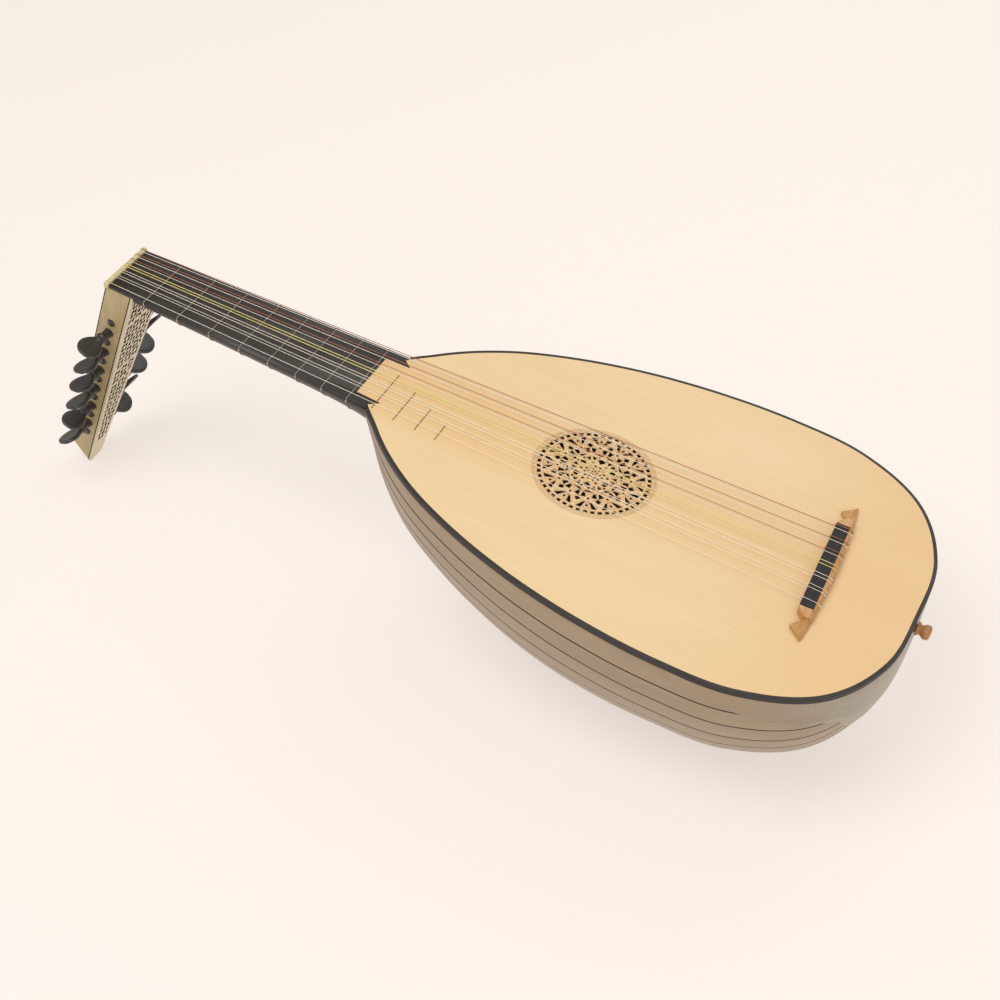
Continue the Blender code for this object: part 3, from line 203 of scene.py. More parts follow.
burntWood = woodFinish("burntSpruce", {  # the board's own wood, browned with a hot tool
    "grain": (0.020, 0.0016, 0.004), "cloud": (60, 60, 60), "colors": ("#b98d62", "#93683f", "#a97b50"),
    "drift": 0.6, "rough": (0.55, 0.70), "relief": 0.1, "coat": 0.0,
})
bone = woodFinish("polishedBone", {  # ivory yellow with faint pore streaks, polished
    "grain": (0.0010, 0.012, 0.0010), "cloud": (90, 40, 90), "colors": ("#dfd2a6", "#cdbd8c", "#c6b583"),
    "rough": (0.24, 0.34), "relief": 0.05, "coat": 0.3,
})


def stringFinish(name, pale, deep, rough):
    # Drawn gut and gut substitutes: smooth, with a little light inside them and slight twists of tone.
    material, add = newMaterial(name)
    place = add("ShaderNodeTexCoord").outputs["Object"]
    twist = add("ShaderNodeMapping", {"Vector": place, "Scale": (160, 900, 900)})
    twist = add("ShaderNodeTexNoise", {"Vector": twist, "Scale": 1.0, "Detail": 2.0})
    color = add("ShaderNodeMix", {0: twist, 6: linear(deep), 7: linear(pale)}, data_type="RGBA")
    shader = add("ShaderNodeBsdfPrincipled", {
        "Base Color": color, "Roughness": rough, "IOR": 1.53, "Subsurface Weight": 0.1,
        "Subsurface Scale": 0.0004,
    })
    add("ShaderNodeOutputMaterial", {"Surface": shader})
    return material


whiteString = stringFinish("whiteNylon", "#f4ecda", "#e6dbc2", 0.25)
yellowString = stringFinish("yellowGut", "#ece08e", "#dccd78", 0.30)
redString = stringFinish("loadedRedGut", "#b87048", "#96502f", 0.35)
fretGut = stringFinish("greyFretGut", "#b9afa4", "#978d83", 0.4)
print("materials made")


# Shapes shared by several pieces

outline = {
    "centreX": 0.150, "step": 15.0,
    "radii": (
        0.2321, 0.2353, 0.2276, 0.2017, 0.1712, 0.1514, 0.1412, 0.1387, 0.1430, 0.1548, 0.1750, 0.2013,
        0.2310,
    ),
    "swell": (0.0, 0.004, 0.006, 0.0045, 0.004, 0.006, 0.0075, 0.0073, 0.007, 0.007, 0.0065, 0.0, -0.01),
    "neckX": -0.060,
}
binding = {"width": 0.0029, "height": 0.0055, "side": 0.0041, "ledge": 0.0016}
bowl = {
    "ribs": 21, "widening": 0.14, "thickness": 0.0016, "endRadius": 0.0130, "claspThickness": 0.0009,
    "axisZ": -binding["height"] - gap / 2,
}
bowl["inset"] = bowl["claspThickness"] + gap


def smooth(a, b, c, d, s):  # a share s of the way from b to c, on a smooth run through four points
    return 0.5 * (2 * b + (c - a) * s + (2 * a - 5 * b + 4 * c - d) * s**2 + (3 * b - a - 3 * c + d) * s**3)


def between(values, angle):
    last = len(values) - 1
    spot = angle / outline["step"]
    i = min(max(int(math.floor(spot)), 0), last - 1)
    after = values[i + 2] if i + 2 <= last else values[2 * last - i - 2]
    return smooth(values[abs(i - 1)], values[i], values[i + 1], after, spot - i)


def profileAt(share, inset):  # x and the distance from the long axis, from the tail to the neck
    angles = np.linspace(0, 180, 361)
    radii = np.array([between(outline["radii"], a) + share * between(outline["swell"], a) for a in angles])
    x = outline["centreX"] + radii * np.cos(np.radians(angles))
    rho = radii * np.sin(np.radians(angles))
    dx, dRho = np.gradient(x), np.gradient(rho)
    length = np.hypot(dx, dRho)
    return x - inset * dRho / length, rho + inset * dx / length


def bowlPoint(x, rho, phi):
    return float(x), float(-rho * math.cos(phi)), float(bowl["axisZ"] - rho * math.sin(phi))


def jointAngle(i):
    u = i / bowl["ribs"]
    return math.pi * (u - bowl["widening"] * math.sin(2 * math.pi * u) / (2 * math.pi))


def profilePart(share, inset, count, startRho, endX):
    # count points evenly along a profile, from where it is startRho out at the tail to endX at the neck
    x, rho = profileAt(share, inset)
    steps = np.arange(len(x), dtype=float)
    tail = int(np.argmax(rho > startRho)) if startRho else 0
    start = float(np.interp(startRho, rho[tail - 1:tail + 1], steps[tail - 1:tail + 1])) if tail else 0.0
    neck = int(np.argmax((x < endX) & (steps > start)))
    end = float(np.interp(-endX, -x[neck - 1:neck + 1], steps[neck - 1:neck + 1]))
    run = np.concatenate([[0], np.cumsum(np.hypot(np.diff(x), np.diff(rho)))])
    marks = np.linspace(np.interp(start, steps, run), np.interp(end, steps, run), count)
    spots = np.interp(marks, run, steps)
    return np.interp(spots, steps, x), np.interp(spots, steps, rho)


def rim(inset, count, endX):  # the outline, from the neck by the treble side to the tail and back
    x, rho = profilePart(0, inset, count, 0.0, endX)
    half = [(float(a), -float(b)) for a, b in zip(x[::-1], rho[::-1])]
    return half[:-1] + [(half[-1][0], 0.0)] + [(float(a), float(b)) for a, b in zip(x[1:], rho[1:])]


def circleLoop(radius, count):
    angles = [2 * math.pi * i / count for i in range(count)]
    return [(radius * math.cos(angle), radius * math.sin(angle)) for angle in angles]


def turned(x, y, angle):  # a point turned about the middle
    return x * math.cos(angle) - y * math.sin(angle), x * math.sin(angle) + y * math.cos(angle)


# Making and finishing pieces

def plainObject(name, mesh):
    made = bpy.data.objects.new(name, mesh)
    scene.collection.objects.link(made)
    return made


def closeUp(mesh):  # merges doubles, then turns the faces outwards
    whole = bmesh.new()
    whole.from_mesh(mesh)
    bmesh.ops.remove_doubles(whole, verts=whole.verts, dist=1e-6)
    bmesh.ops.recalc_face_normals(whole, faces=whole.faces)
    whole.to_mesh(mesh)
    whole.free()


def shade(mesh, sharp=35):  # smooth, apart from edges sharper than this many degrees
    mesh.shade_smooth()
    mesh.set_sharp_from_angle(angle=math.radians(sharp))


def pieceFrom(name, vertices, faces, finish, sharp=35):
    mesh = bpy.data.meshes.new(name)
    mesh.from_pydata([tuple(v) for v in vertices], [], faces)
    closeUp(mesh)
    shade(mesh, sharp)
    mesh.materials.append(finish)
    return plainObject(name, mesh)


def skin(name, sections, finish, sharp=35):  # skins rings with equal point counts, and closes both ends
    count = len(sections[0])
    vertices = [point for section in sections for point in section]
    total = len(sections)
    faces = []
    for row in range(0, (total - 1) * count, count):
        for j in range(count):
            beside = (j + 1) % count
            faces.append((row + j, row + beside, row + count + beside, row + count + j))
    faces.append(tuple(range(count))[::-1])
    faces.append(tuple(range((total - 1) * count, total * count)))
    return pieceFrom(name, vertices, faces, finish, sharp)


def settled(obj, sharp=35):  # the object as its modifiers leave it, as a plain mesh at the origin
    bpy.context.view_layer.update()
    graph = bpy.context.evaluated_depsgraph_get()
    mesh = bpy.data.meshes.new_from_object(obj.evaluated_get(graph))
    mesh.transform(obj.matrix_world)
    name = obj.name
    bpy.data.objects.remove(obj)
    mesh.name = name
    shade(mesh, sharp)
    return plainObject(name, mesh)


def merged(name, pieces):  # several meshes of one finish as one piece
    whole = bmesh.new()
    for piece in pieces:
        piece.data.transform(piece.matrix_world)
        whole.from_mesh(piece.data)
    mesh = bpy.data.meshes.new(name)
    whole.to_mesh(mesh)
    whole.free()
    mesh.materials.append([m for m in pieces[0].data.materials if m][0])
    mesh.polygons.foreach_set("material_index", [0] * len(mesh.polygons))
    for piece in pieces:
        bpy.data.objects.remove(piece)
    shade(mesh)
    return plainObject(name, mesh)


def linesObject(name, lines, closed=False, radii=None):  # poly curves that a node tree reads
    curve = bpy.data.curves.new(name, "CURVE")
    curve.dimensions = "3D"
    for number, line in enumerate(lines):
        spline = curve.splines.new("POLY")
        spline.points.add(len(line) - 1)
        for point, spot in zip(spline.points, line):
            point.co = (*Vector(spot).to_3d(), 1)
            point.radius = radii[number] if radii else 1.0
        spline.use_cyclic_u = closed
    return plainObject(name, curve)


def newTree(name, inputs):  # inputs: label and socket kind
    tree = bpy.data.node_groups.new(name, "GeometryNodeTree")
    for label, kind in inputs:
        tree.interface.new_socket(label, in_out="INPUT", socket_type=kind)
    tree.interface.new_socket("Geometry", in_out="OUTPUT", socket_type="NodeSocketGeometry")
    return tree, partial(addNode, tree), tree.nodes.new("NodeGroupInput").outputs


def finished(add, geometry, finish):  # ends every tree: the export drops instances, so they are made real
    geometry = add("GeometryNodeRealizeInstances", {"Geometry": geometry})
    geometry = add("GeometryNodeSetMaterial", {"Geometry": geometry, "Material": finish})
    add("NodeGroupOutput", (geometry,))


def grown(name, tree, values, **solid):  # what a tree makes from its inputs, as a plain mesh
    host = plainObject(name, bpy.data.meshes.new(name))
    step = host.modifiers.new(name, "NODES")
    step.node_group = tree
    for item in tree.interface.items_tree:
        if item.in_out == "INPUT":
            step[item.identifier] = values[item.name]
    if solid:
        wall = host.modifiers.new("wall", "SOLIDIFY")
        for key, value in solid.items():
            setattr(wall, key, value)
    made = settled(host)
    for value in values.values():
        if isinstance(value, bpy.types.Object):
            bpy.data.objects.remove(value)
    return made


def give(obj, slot, *nodes, body=lute):  # the piece rides on its body and stands for its nodes
    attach(obj, body)
    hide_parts(*nodes)


def catmull(points, steps):  # a smooth run through points, with straight ends
    points = [Vector(p) for p in points]
    run = [points[0] * 2 - points[1], *points, points[-1] * 2 - points[-2]]
    made = []
    for i in range(1, len(run) - 2):
        made += [smooth(*run[i - 1:i + 3], k / steps) for k in range(steps)]
    return made + [points[-1]]


# Bowl: the ribs run between neighbouring joint lines, nearly flat across, as bent staves are

def jointLines(add, color):
    # A thin dark line along every joint between ribs, 0.7 mm each side
    edge = add("ShaderNodeAttribute", attribute_name="edgeDistance").outputs["Fac"]
    line = add("ShaderNodeMapRange", (edge, 0.00065, 0.00080, 1.0, 0.0))
    return add("ShaderNodeMix", {0: line, 6: color, 7: linear("#1c140e")}, data_type="RGBA")


ribWood = woodFinish("satinRibWood", {  # a grey-brown hardwood, rubbed satin, a little different in each rib
    "grain": (0.060, 0.0030, 0.0030), "cloud": (9, 30, 1), "colors": ("#ab957a", "#a28c71", "#947f65"),
    "drift": 0.6, "rough": (0.36, 0.48), "relief": 0.08, "coat": 0.10, "follows": "grain", "tune": jointLines,
})

ribTree, add, ins = newTree("bowlRibs", (
    ("Joint Lines", "NodeSocketObject"), ("Ribs", "NodeSocketInt"), ("Rows", "NodeSocketInt"),
    ("Columns", "NodeSocketInt"), ("Joint Gap", "NodeSocketFloat"), ("Crown", "NodeSocketFloat"),
    ("Eased Edge", "NodeSocketFloat"), ("Wood", "NodeSocketMaterial"),
))
wide = add("ShaderNodeMath", (ins["Ribs"], ins["Columns"]), operation="MULTIPLY")
grid = add("GeometryNodeMeshGrid", {"Vertices X": wide, "Vertices Y": ins["Rows"]})
index = add("GeometryNodeInputIndex")
column = add("ShaderNodeMath", (index, ins["Rows"]), operation="DIVIDE")
column = add("ShaderNodeMath", (column,), operation="FLOOR")
row = add("ShaderNodeMath", (index, ins["Rows"]), operation="MODULO")
lastRow = add("ShaderNodeMath", (ins["Rows"], 1.0), operation="SUBTRACT")
alongShare = add("ShaderNodeMath", (row, lastRow), operation="DIVIDE")
rib = add("ShaderNodeMath", (column, ins["Columns"]), operation="DIVIDE")
rib = add("ShaderNodeMath", (rib,), operation="FLOOR")
inRib = add("ShaderNodeMath", (column, ins["Columns"]), operation="MODULO")
lastColumn = add("ShaderNodeMath", (ins["Columns"], 1.0), operation="SUBTRACT")
across = add("ShaderNodeMath", (inRib, lastColumn), operation="DIVIDE")
across = add("ShaderNodeMath", (across, math.pi), operation="MULTIPLY")
across = add("ShaderNodeMath", (across,), operation="COSINE")
across = add("ShaderNodeMath", (across, -0.5, 0.5), operation="MULTIPLY_ADD")  # closer together at the edges
lines = add("GeometryNodeObjectInfo", {"Object": ins["Joint Lines"]}).outputs["Geometry"]
nextRib = add("ShaderNodeMath", (rib, 1.0))
low, high = (
    add(
        "GeometryNodeSampleCurve", {"Curves": lines, "Factor": alongShare, "Curve Index": which},
        mode="FACTOR", use_all_curves=False,
    ) for which in (rib, nextRib)
)
start = low.outputs["Position"]
sideways = add("ShaderNodeVectorMath", (high.outputs["Position"], start), operation="SUBTRACT")
ribWidth = add("ShaderNodeVectorMath", (sideways,), operation="LENGTH")
edgeShare = add("ShaderNodeMath", (ins["Joint Gap"], ribWidth), operation="DIVIDE")
farShare = add("ShaderNodeMath", (1.0, edgeShare), operation="SUBTRACT")
across = add("ShaderNodeMapRange", (across, 0.0, 1.0, edgeShare, farShare))
flat = add("ShaderNodeVectorMath", {0: sideways, "Scale": across}, operation="SCALE")
flat = add("ShaderNodeVectorMath", (flat, start))
outward = add("ShaderNodeVectorMath", (low.outputs["Tangent"], sideways), operation="CROSS_PRODUCT")
outward = add("ShaderNodeVectorMath", (outward,), operation="NORMALIZE")
fromMiddle = add("ShaderNodeMath", (across, 0.5), operation="SUBTRACT")
fromMiddle = add("ShaderNodeMath", (fromMiddle,), operation="ABSOLUTE")
hump = add("ShaderNodeMath", (fromMiddle, fromMiddle), operation="MULTIPLY")
hump = add("ShaderNodeMath", (hump, -4.0, 1.0), operation="MULTIPLY_ADD")
hump = add("ShaderNodeMath", (hump, ribWidth), operation="MULTIPLY")
hump = add("ShaderNodeMath", (hump, ins["Crown"]), operation="MULTIPLY")
atEdge = add("ShaderNodeMath", (fromMiddle, 0.48), operation="GREATER_THAN")
ease = add("ShaderNodeMath", (atEdge, ins["Eased Edge"]), operation="MULTIPLY")
lift = add("ShaderNodeMath", (hump, ease), operation="SUBTRACT")
lift = add("ShaderNodeVectorMath", {0: outward, "Scale": lift}, operation="SCALE")
spot = add("ShaderNodeVectorMath", (flat, lift))
fromEdge = add("ShaderNodeMath", (0.5, fromMiddle), operation="SUBTRACT")
fromEdge = add("ShaderNodeMath", (fromEdge, ribWidth), operation="MULTIPLY")
grainAcross = add("ShaderNodeMath", (across, ribWidth), operation="MULTIPLY")
grainAlong = add("ShaderNodeMath", (alongShare, 0.5), operation="MULTIPLY")
grain = add("ShaderNodeCombineXYZ", (grainAlong, grainAcross, rib))
staves = grid
for label, value, kind in (
    ("rib", rib, "FLOAT"), ("edgeDistance", fromEdge, "FLOAT"), ("grain", grain, "FLOAT_VECTOR"),
):
    marked = {"Geometry": staves, "Name": label, "Value": value}
    staves = add("GeometryNodeStoreNamedAttribute", marked, data_type=kind, domain="POINT")
staves = add("GeometryNodeSetPosition", {"Geometry": staves, "Position": spot})
ribMark = add("GeometryNodeInputNamedAttribute", {"Name": "rib"}, data_type="FLOAT").outputs["Attribute"]
bridging = add("ShaderNodeMath", (ribMark,), operation="FRACT")
bridging = add("FunctionNodeCompare", (bridging, 0.01), data_type="FLOAT", operation="GREATER_THAN")
staves = add("GeometryNodeDeleteGeometry", {"Geometry": staves, "Selection": bridging}, domain="FACE")
staves = add("GeometryNodeFlipFaces", {"Mesh": staves})
finished(add, staves, ins["Wood"])

jointRuns = []
for i in range(bowl["ribs"] + 1):
    phi = jointAngle(i)
    xs, rhos = profilePart(math.sin(phi), bowl["inset"], 160, bowl["endRadius"], outline["neckX"] + gap)
    up = -bowl["axisZ"] - binding["side"] - 0.0002 if i in (0, bowl["ribs"]) else 0.0
    jointRuns.append([Vector(bowlPoint(x, rho, phi)) + Vector((0, 0, up)) for x, rho in zip(xs, rhos)])
ribs = grown("bowlRibs", ribTree, {
    "Joint Lines": linesObject("jointLines", jointRuns), "Ribs": bowl["ribs"], "Rows": 120, "Columns": 9,
    "Joint Gap": 0.00012, "Crown": 0.015, "Eased Edge": 0.00025, "Wood": ribWood,
}, thickness=bowl["thickness"], offset=-1.0, use_even_offset=True)
give(ribs, "bowl_rib_wood", *[f"rib_{i + 1:02d}" for i in range(bowl["ribs"])])
print("bowl ribs:", len(ribs.data.polygons), "faces")


# Edge binding: a black strip let in round the edge, its top edge just eased

def makeBinding():
    rows = 181
    end = outline["neckX"] + gap
    under = -soundboard["thickness"] - gap
    ease = 0.0003
    insets = (0, ease, binding["width"], binding["width"] + binding["ledge"])
    sections = []
    for (ox, oy), (ex, ey), (sx, sy), (lx, ly) in zip(*[rim(inset, rows, end) for inset in insets]):
        sections.append([
            (ex, ey, 0), (ox, oy, -ease), (ox, oy, -binding["side"] + ease / 2), (ex, ey, -binding["side"]),
            (lx, ly, -binding["side"]), (lx, ly, under), (sx, sy, under), (sx, sy, 0),
        ])
    give(skin("edgeBinding", sections, bindingWood), "black_hardwood", "edge_binding")


# Soundboard with its rose, bars and body frets

soundboard = {
    "thickness": 0.0018, "tongueX": -0.0753, "tongueHalf": 0.0234, "pointTip": (-0.0543, 0.0248),
    "pointRoot": (-0.0614, 0.0308), "bars": (-0.016, 0.020, 0.056, 0.182, 0.226, 0.268, 0.322),
    "barSize": (0.0050, 0.0120),
}
rose = {
    "x": 0.1185, "radius": 0.0442, "ring": 0.0028, "holes": 48, "bar": 0.0026, "border": 0.0450,
    "foot": -0.0012, "recess": 0.0004, "line": 0.00085, "clear": 0.00005, "open": 1.10,
    "relief": 0.0002, "teeth": 252, "teethRadius": 0.0470, "toothLength": 0.0019, "toothWidth": 0.00034,
}
# The pierced field: how many times each hole comes round, its first angle, whether it has a mirror
# twin, and its corners in millimetres, outwards and sideways.
roseField = (
    (12, 15, True, ((38.7, 4.3), (38.2, 7.9), (33.3, 3.8), (32.3, 1.8))),
    (12, 15, False, ((37.2, 0.0), (36.0, 1.2), (34.8, 0.0), (36.0, -1.2))),
    (12, 15, False, ((29.7, 0.0), (28.6, 1.1), (27.5, 0.0), (28.6, -1.1))),
    (12, 0, False, ((33.3, 0.0), (30.9, 2.1), (28.6, 0.0), (30.9, -2.1))),
    (12, 0, True, ((27.9, 1.0), (26.6, 4.5), (23.2, 2.8), (23.3, 1.1))),
    (6, 30, True, ((22.4, 0.8), (19.9, 7.9), (19.6, 3.1))),
    (6, 30, False, ((19.0, -3.8), (16.2, 0.0), (19.0, 3.8), (14.6, 2.7), (11.6, 0.0), (14.6, -2.7))),
    (6, 0, True, ((18.1, 0.9), (17.0, 4.1), (14.2, 1.5))),
    (6, 0, False, ((12.1, 0.0), (11.0, 1.1), (9.9, 0.0), (11.0, -1.1))),
    (12, 15, False, ((8.7, 0.0), (7.6, 0.9), (6.6, 0.0), (7.6, -0.9))),
    (6, 0, False, ((5.6, 0.0), (4.8, 0.7), (4.0, 0.0), (4.8, -0.7))),
    (6, 30, False, ((3.0, 0.0), (2.3, 0.6), (1.5, 0.0), (2.3, -0.6))),
)
# The straps carved over it: distance from the middle and first angle of twelve chords, and their reach
roseStraps = (
    (0.01875, 0, 0.0404), (0.02025, 0, 0.0404), (0.0075, 0, 0.0186), (0.0088, 0, 0.0186), (0.0030, 0, 0.0095),
    (0.0129, 15, 0.0186), (0.0299, 15, 0.0330), (0.0347, 0, 0.0362), (0.0285, 0, 0.0302),
)
makeBinding()


def warmLane(add, color):
    # The varnish has darkened under the strings, most of all by the tongue, and round the bridge and tail.
    place = add("ShaderNodeTexCoord").outputs["Object"]
    axes = add("ShaderNodeSeparateXYZ", (place,))
    out = add("ShaderNodeMath", (axes.outputs[1],), operation="ABSOLUTE")
    x = axes.outputs[0]
    side, reach, tail = (add("ShaderNodeMapRange", run, interpolation_type="SMOOTHSTEP") for run in (
        (out, 0.022, 0.048, 1.0, 0.0), (x, 0.00, 0.14, 0.45, 0.32), (x, 0.21, 0.36, 0.0, 0.55),
    ))
    share = add("ShaderNodeMath", (side, reach), operation="MULTIPLY")
    share = add("ShaderNodeMath", (share, tail), operation="MAXIMUM")
    color = add("ShaderNodeMix", {0: share, 6: color, 7: linear("#e7bc7f")}, data_type="RGBA")
    # Painted shade in the rose: its recessed ground is painted a little browner than the board, and the walls
    # of its cuts dark, as shade falls in them.
    middle = add("ShaderNodeVectorMath", (place, (rose["x"], 0, 0)), operation="SUBTRACT")
    middle = add("ShaderNodeVectorMath", (middle,), operation="LENGTH")
    inRose = add("ShaderNodeMapRange", (middle, rose["border"], rose["border"] + 0.0004, 1.0, 0.0))
    paintedShadeDepths = ((-0.00035, -0.0001, 0.4, "#9a6c42"), (-0.00065, -0.00045, 0.95, "#20150d"))
    for low, high, most, shadeTone in paintedShadeDepths:
        cut = add("ShaderNodeMapRange", (axes.outputs[2], low, high, most, 0.0))
        cut = add("ShaderNodeMath", (cut, inRose), operation="MULTIPLY")
        color = add("ShaderNodeMix", {0: cut, 6: color, 7: linear(shadeTone)}, data_type="RGBA")
    return color


spruce = woodFinish("varnishedSpruce", {  # quarter-sawn, so fine straight growth lines run the board's length
    "grain": (0.20, 0.0016, 0.004), "cloud": (5, 16, 5), "colors": ("#efd5a5", "#e8ca99", "#eac594"),
    "rough": (0.42, 0.55), "relief": 0.12, "coat": 0.12, "tune": warmLane,
})


def strapFace(start, end, width):
    start, end = Vector(start), Vector(end)
    run = (end - start).normalized()
    side = Vector((-run.y, run.x)) * width / 2
    return [start + side, start - side, end - side, end + side]


def spoke(degrees):  # the ways out from the middle and sideways, at an angle
    out = Vector((math.cos(math.radians(degrees)), math.sin(math.radians(degrees))))
    return out, Vector((-out.y, out.x))


def fieldHoles():
    loops = []
    for count, first, twin, corners in roseField:
        middle = [sum(c[k] for c in corners) / len(corners) for k in (0, 1)]
        for i in range(count):
            turn = math.radians(first) + 2 * math.pi * i / count
            for side in (1, -1) if twin else (1,):
                loop = []
                for corner in corners:
                    out, aside = (m + (c - m) * rose["open"] for m, c in zip(middle, corner))
                    loop.append(turned(out / 1000, side * aside / 1000, turn))
                loops.append(loop[::side])
    return loops


def openRuns(start, end, loops, margin):  # the parts of a line that keep clear of the holes, which are convex
    steps = max(int((end - start).length / 0.0002), 2)
    spots = np.linspace(start, end, steps + 1)
    solid = np.ones(steps + 1, dtype=bool)
    for loop in loops:
        inside = np.ones(steps + 1, dtype=bool)
        for (ax, ay), (bx, by) in zip(loop, loop[1:] + loop[:1]):
            length = math.hypot(bx - ax, by - ay)
            inside &= ((spots[:, 0] - ax) * (by - ay) - (spots[:, 1] - ay) * (bx - ax)) / length < margin
        solid &= ~inside
    runs, begun = [], None
    for i, clear in enumerate([*solid, False]):
        if clear and begun is None:
            begun = i
        elif not clear and begun is not None:
            if i - begun > 4:
                runs.append((spots[begun], spots[i - 1]))
            begun = None
    return runs


def strapLines(loops):
    width = rose["line"]
    lines = []
    for distance, first, reach in roseStraps:
        half = math.sqrt(reach**2 - distance**2)
        for i in range(12):
            out, along = spoke(first + 30 * i)
            lines.append((out * distance - along * half, out * distance + along * half))
    for i in range(12):  # a small frame round each hole by the edge, and a short rib inside it
        out, aside = spoke(15 + 30 * i)
        corners = ((39.3, 0), (36.7, 2.5), (34.0, 0), (36.7, -2.5))
        frame = [out * r / 1000 + aside * s / 1000 for r, s in corners]
        lines += zip(frame, frame[1:] + frame[:1])
        out, _ = spoke(30 * i)
        lines += [(out * 0.0238, out * 0.0293), (out * 0.0346, out * 0.0400)]
    for radius in (0.0406, rose["border"] - 0.0003):  # a fillet each side of the ring of square holes
        loop = [Vector(p) for p in circleLoop(radius, 96)]
        lines += zip(loop, loop[1:] + loop[:1])
    inner, outer = rose["radius"] - rose["ring"] - 0.0004, rose["radius"] + 0.0004
    for i in range(rose["holes"]):
        out, _ = spoke(360 * (i + 0.5) / rose["holes"])
        lines.append((out * inner, out * outer))
    faces = []
    for start, end in lines:
        for a, b in openRuns(start, end, loops, width / 2 + rose["clear"]):
            faces.append(strapFace(a, b, width))
    return faces


def platePiece(name, faces, low, high, finish):  # the union of flat shapes, as a plate
    corners, loops = [], []
    for face in faces:
        loops.append(list(range(len(corners), len(corners) + len(face))))
        corners += [Vector((round(p.x, 7) + 0.0, round(p.y, 7) + 0.0)) for p in face]
    points, _, triangles, _, _, sources = delaunay_2d_cdt(corners, [], loops, 0, 1e-6)
    whole = bmesh.new()
    made = [whole.verts.new((p.x, p.y, low)) for p in points]
    for triangle, source in zip(triangles, sources):
        if source:
            whole.faces.new([made[i] for i in triangle])
    bmesh.ops.delete(whole, geom=[v for v in whole.verts if not v.link_faces], context="VERTS")
    pulled = bmesh.ops.extrude_face_region(whole, geom=list(whole.faces), use_keep_orig=True)
    top = [v for v in pulled["geom"] if isinstance(v, bmesh.types.BMVert)]
    bmesh.ops.translate(whole, verts=top, vec=(0, 0, high - low))
    bmesh.ops.recalc_face_normals(whole, faces=whole.faces)
    mesh = bpy.data.meshes.new(name)
    whole.to_mesh(mesh)
    whole.free()
    mesh.materials.append(finish)
    return plainObject(name, mesh)


def flatPlate(name, loops, low, high, finish):  # a plate from an outline and its holes
    plate = linesObject(name, loops, closed=True)
    plate.data.dimensions = "2D"
    plate.data.fill_mode = "BOTH"
    plate.data.extrude = (high - low) / 2
    plate.data.materials.append(finish)
    plate.location = (0, 0, (high + low) / 2)
    plate = settled(plate)
    closeUp(plate.data)
    return plate


def boardOutline():
    edge = rim(binding["width"] + gap / 2, 181, outline["neckX"] + 2 * gap)
    tipX, tipY = soundboard["pointTip"]
    rootX, rootY = soundboard["pointRoot"]
    horn = [
        (soundboard["tongueX"] + gap, soundboard["tongueHalf"] - gap), (tipX, tipY - 2 * gap),
        (tipX + 2 * gap, tipY), (rootX + gap, rootY + gap),
    ]
    return [(x, -y) for x, y in horn] + edge + horn[::-1]


# A plate pierced right through: closed outlines, one inside another, filled and given their thickness
pierceTree, add, ins = newTree("piercedPlate", (
    ("Outlines", "NodeSocketObject"), ("Thickness", "NodeSocketFloat"), ("Wood", "NodeSocketMaterial"),
))
rims = add("GeometryNodeObjectInfo", {"Object": ins["Outlines"]}).outputs["Geometry"]
sheet = add("GeometryNodeFillCurve", {"Curve": rims})
sheet = add("GeometryNodeMergeByDistance", {"Geometry": sheet, "Distance": 0.000002})
drop = add("ShaderNodeMath", (ins["Thickness"], -1.0), operation="MULTIPLY")
drop = add("ShaderNodeCombineXYZ", {2: drop})
walls = add("GeometryNodeExtrudeMesh", {"Mesh": sheet, "Offset": drop, "Individual": False})
plate = add("GeometryNodeJoinGeometry", ([walls, sheet],))
plate = add("GeometryNodeMergeByDistance", {"Geometry": plate, "Distance": 0.000002})
finished(add, plate, ins["Wood"])


def pierced(name, loops, low, high, finish):  # the plate between two heights, its faces turned outwards
    rims = linesObject(name + "Rims", loops, closed=True)
    made = grown(name, pierceTree, {"Outlines": rims, "Thickness": high - low, "Wood": finish})
    made.data.transform(Matrix.Translation((0, 0, high)))
    closeUp(made.data)
    return made


def squareHoles():
    inner = rose["radius"] - rose["ring"]
    share = 2 * math.pi / rose["holes"]
    loops = []
    for i in range(rose["holes"]):
        ends = []
        for radius in (inner, rose["radius"]):
            half = share / 2 - rose["bar"] / 2 / radius
            for angle in (share * i - half, share * i + half):
                ends.append((radius * math.cos(angle), radius * math.sin(angle)))
        loops.append([ends[0], ends[2], ends[3], ends[1]])
    return loops


def makeSoundboard():
    thick = soundboard["thickness"]
    opening = [(rose["x"] + x, y) for x, y in circleLoop(rose["border"], 144)]
    board = flatPlate("soundboardTop", [boardOutline(), opening], -thick, 0.0, spruce)
    loops = fieldHoles() + squareHoles()
    ground = [circleLoop(rose["border"] + 0.0004, 144), *loops]
    base = pierced("roseField", ground, rose["foot"], -rose["recess"], spruce)
    top = platePiece("roseStraps", strapLines(loops), -rose["recess"] - rose["relief"], -0.00005, spruce)
    for part in (base, top):
        part.location = (rose["x"], 0, 0)
    bars = []
    barWide, barHigh = soundboard["barSize"]
    xs, rhos = profileAt(0, 0.0064)
    for x in soundboard["bars"]:
        half = float(np.interp(-x, -xs, rhos))
        sections = []
        for y, low in ((-half, 0.35), (-half + 0.02, 1.0), (half - 0.02, 1.0), (half, 0.35)):
            sections.append([
                (x - barWide / 2, y, -thick), (x + barWide / 2, y, -thick),
                (x + barWide / 2, y, -thick - barHigh * low * 0.8), (x, y, -thick - barHigh * low),
                (x - barWide / 2, y, -thick - barHigh * low * 0.8),
            ])
        bars.append(skin("bar", sections, spruce))
    bpy.context.view_layer.update()
    whole = merged("soundboardTop", [board, base, top, *bars])
    give(whole, "spruce_soundboard", "soundboard")


makeSoundboard()

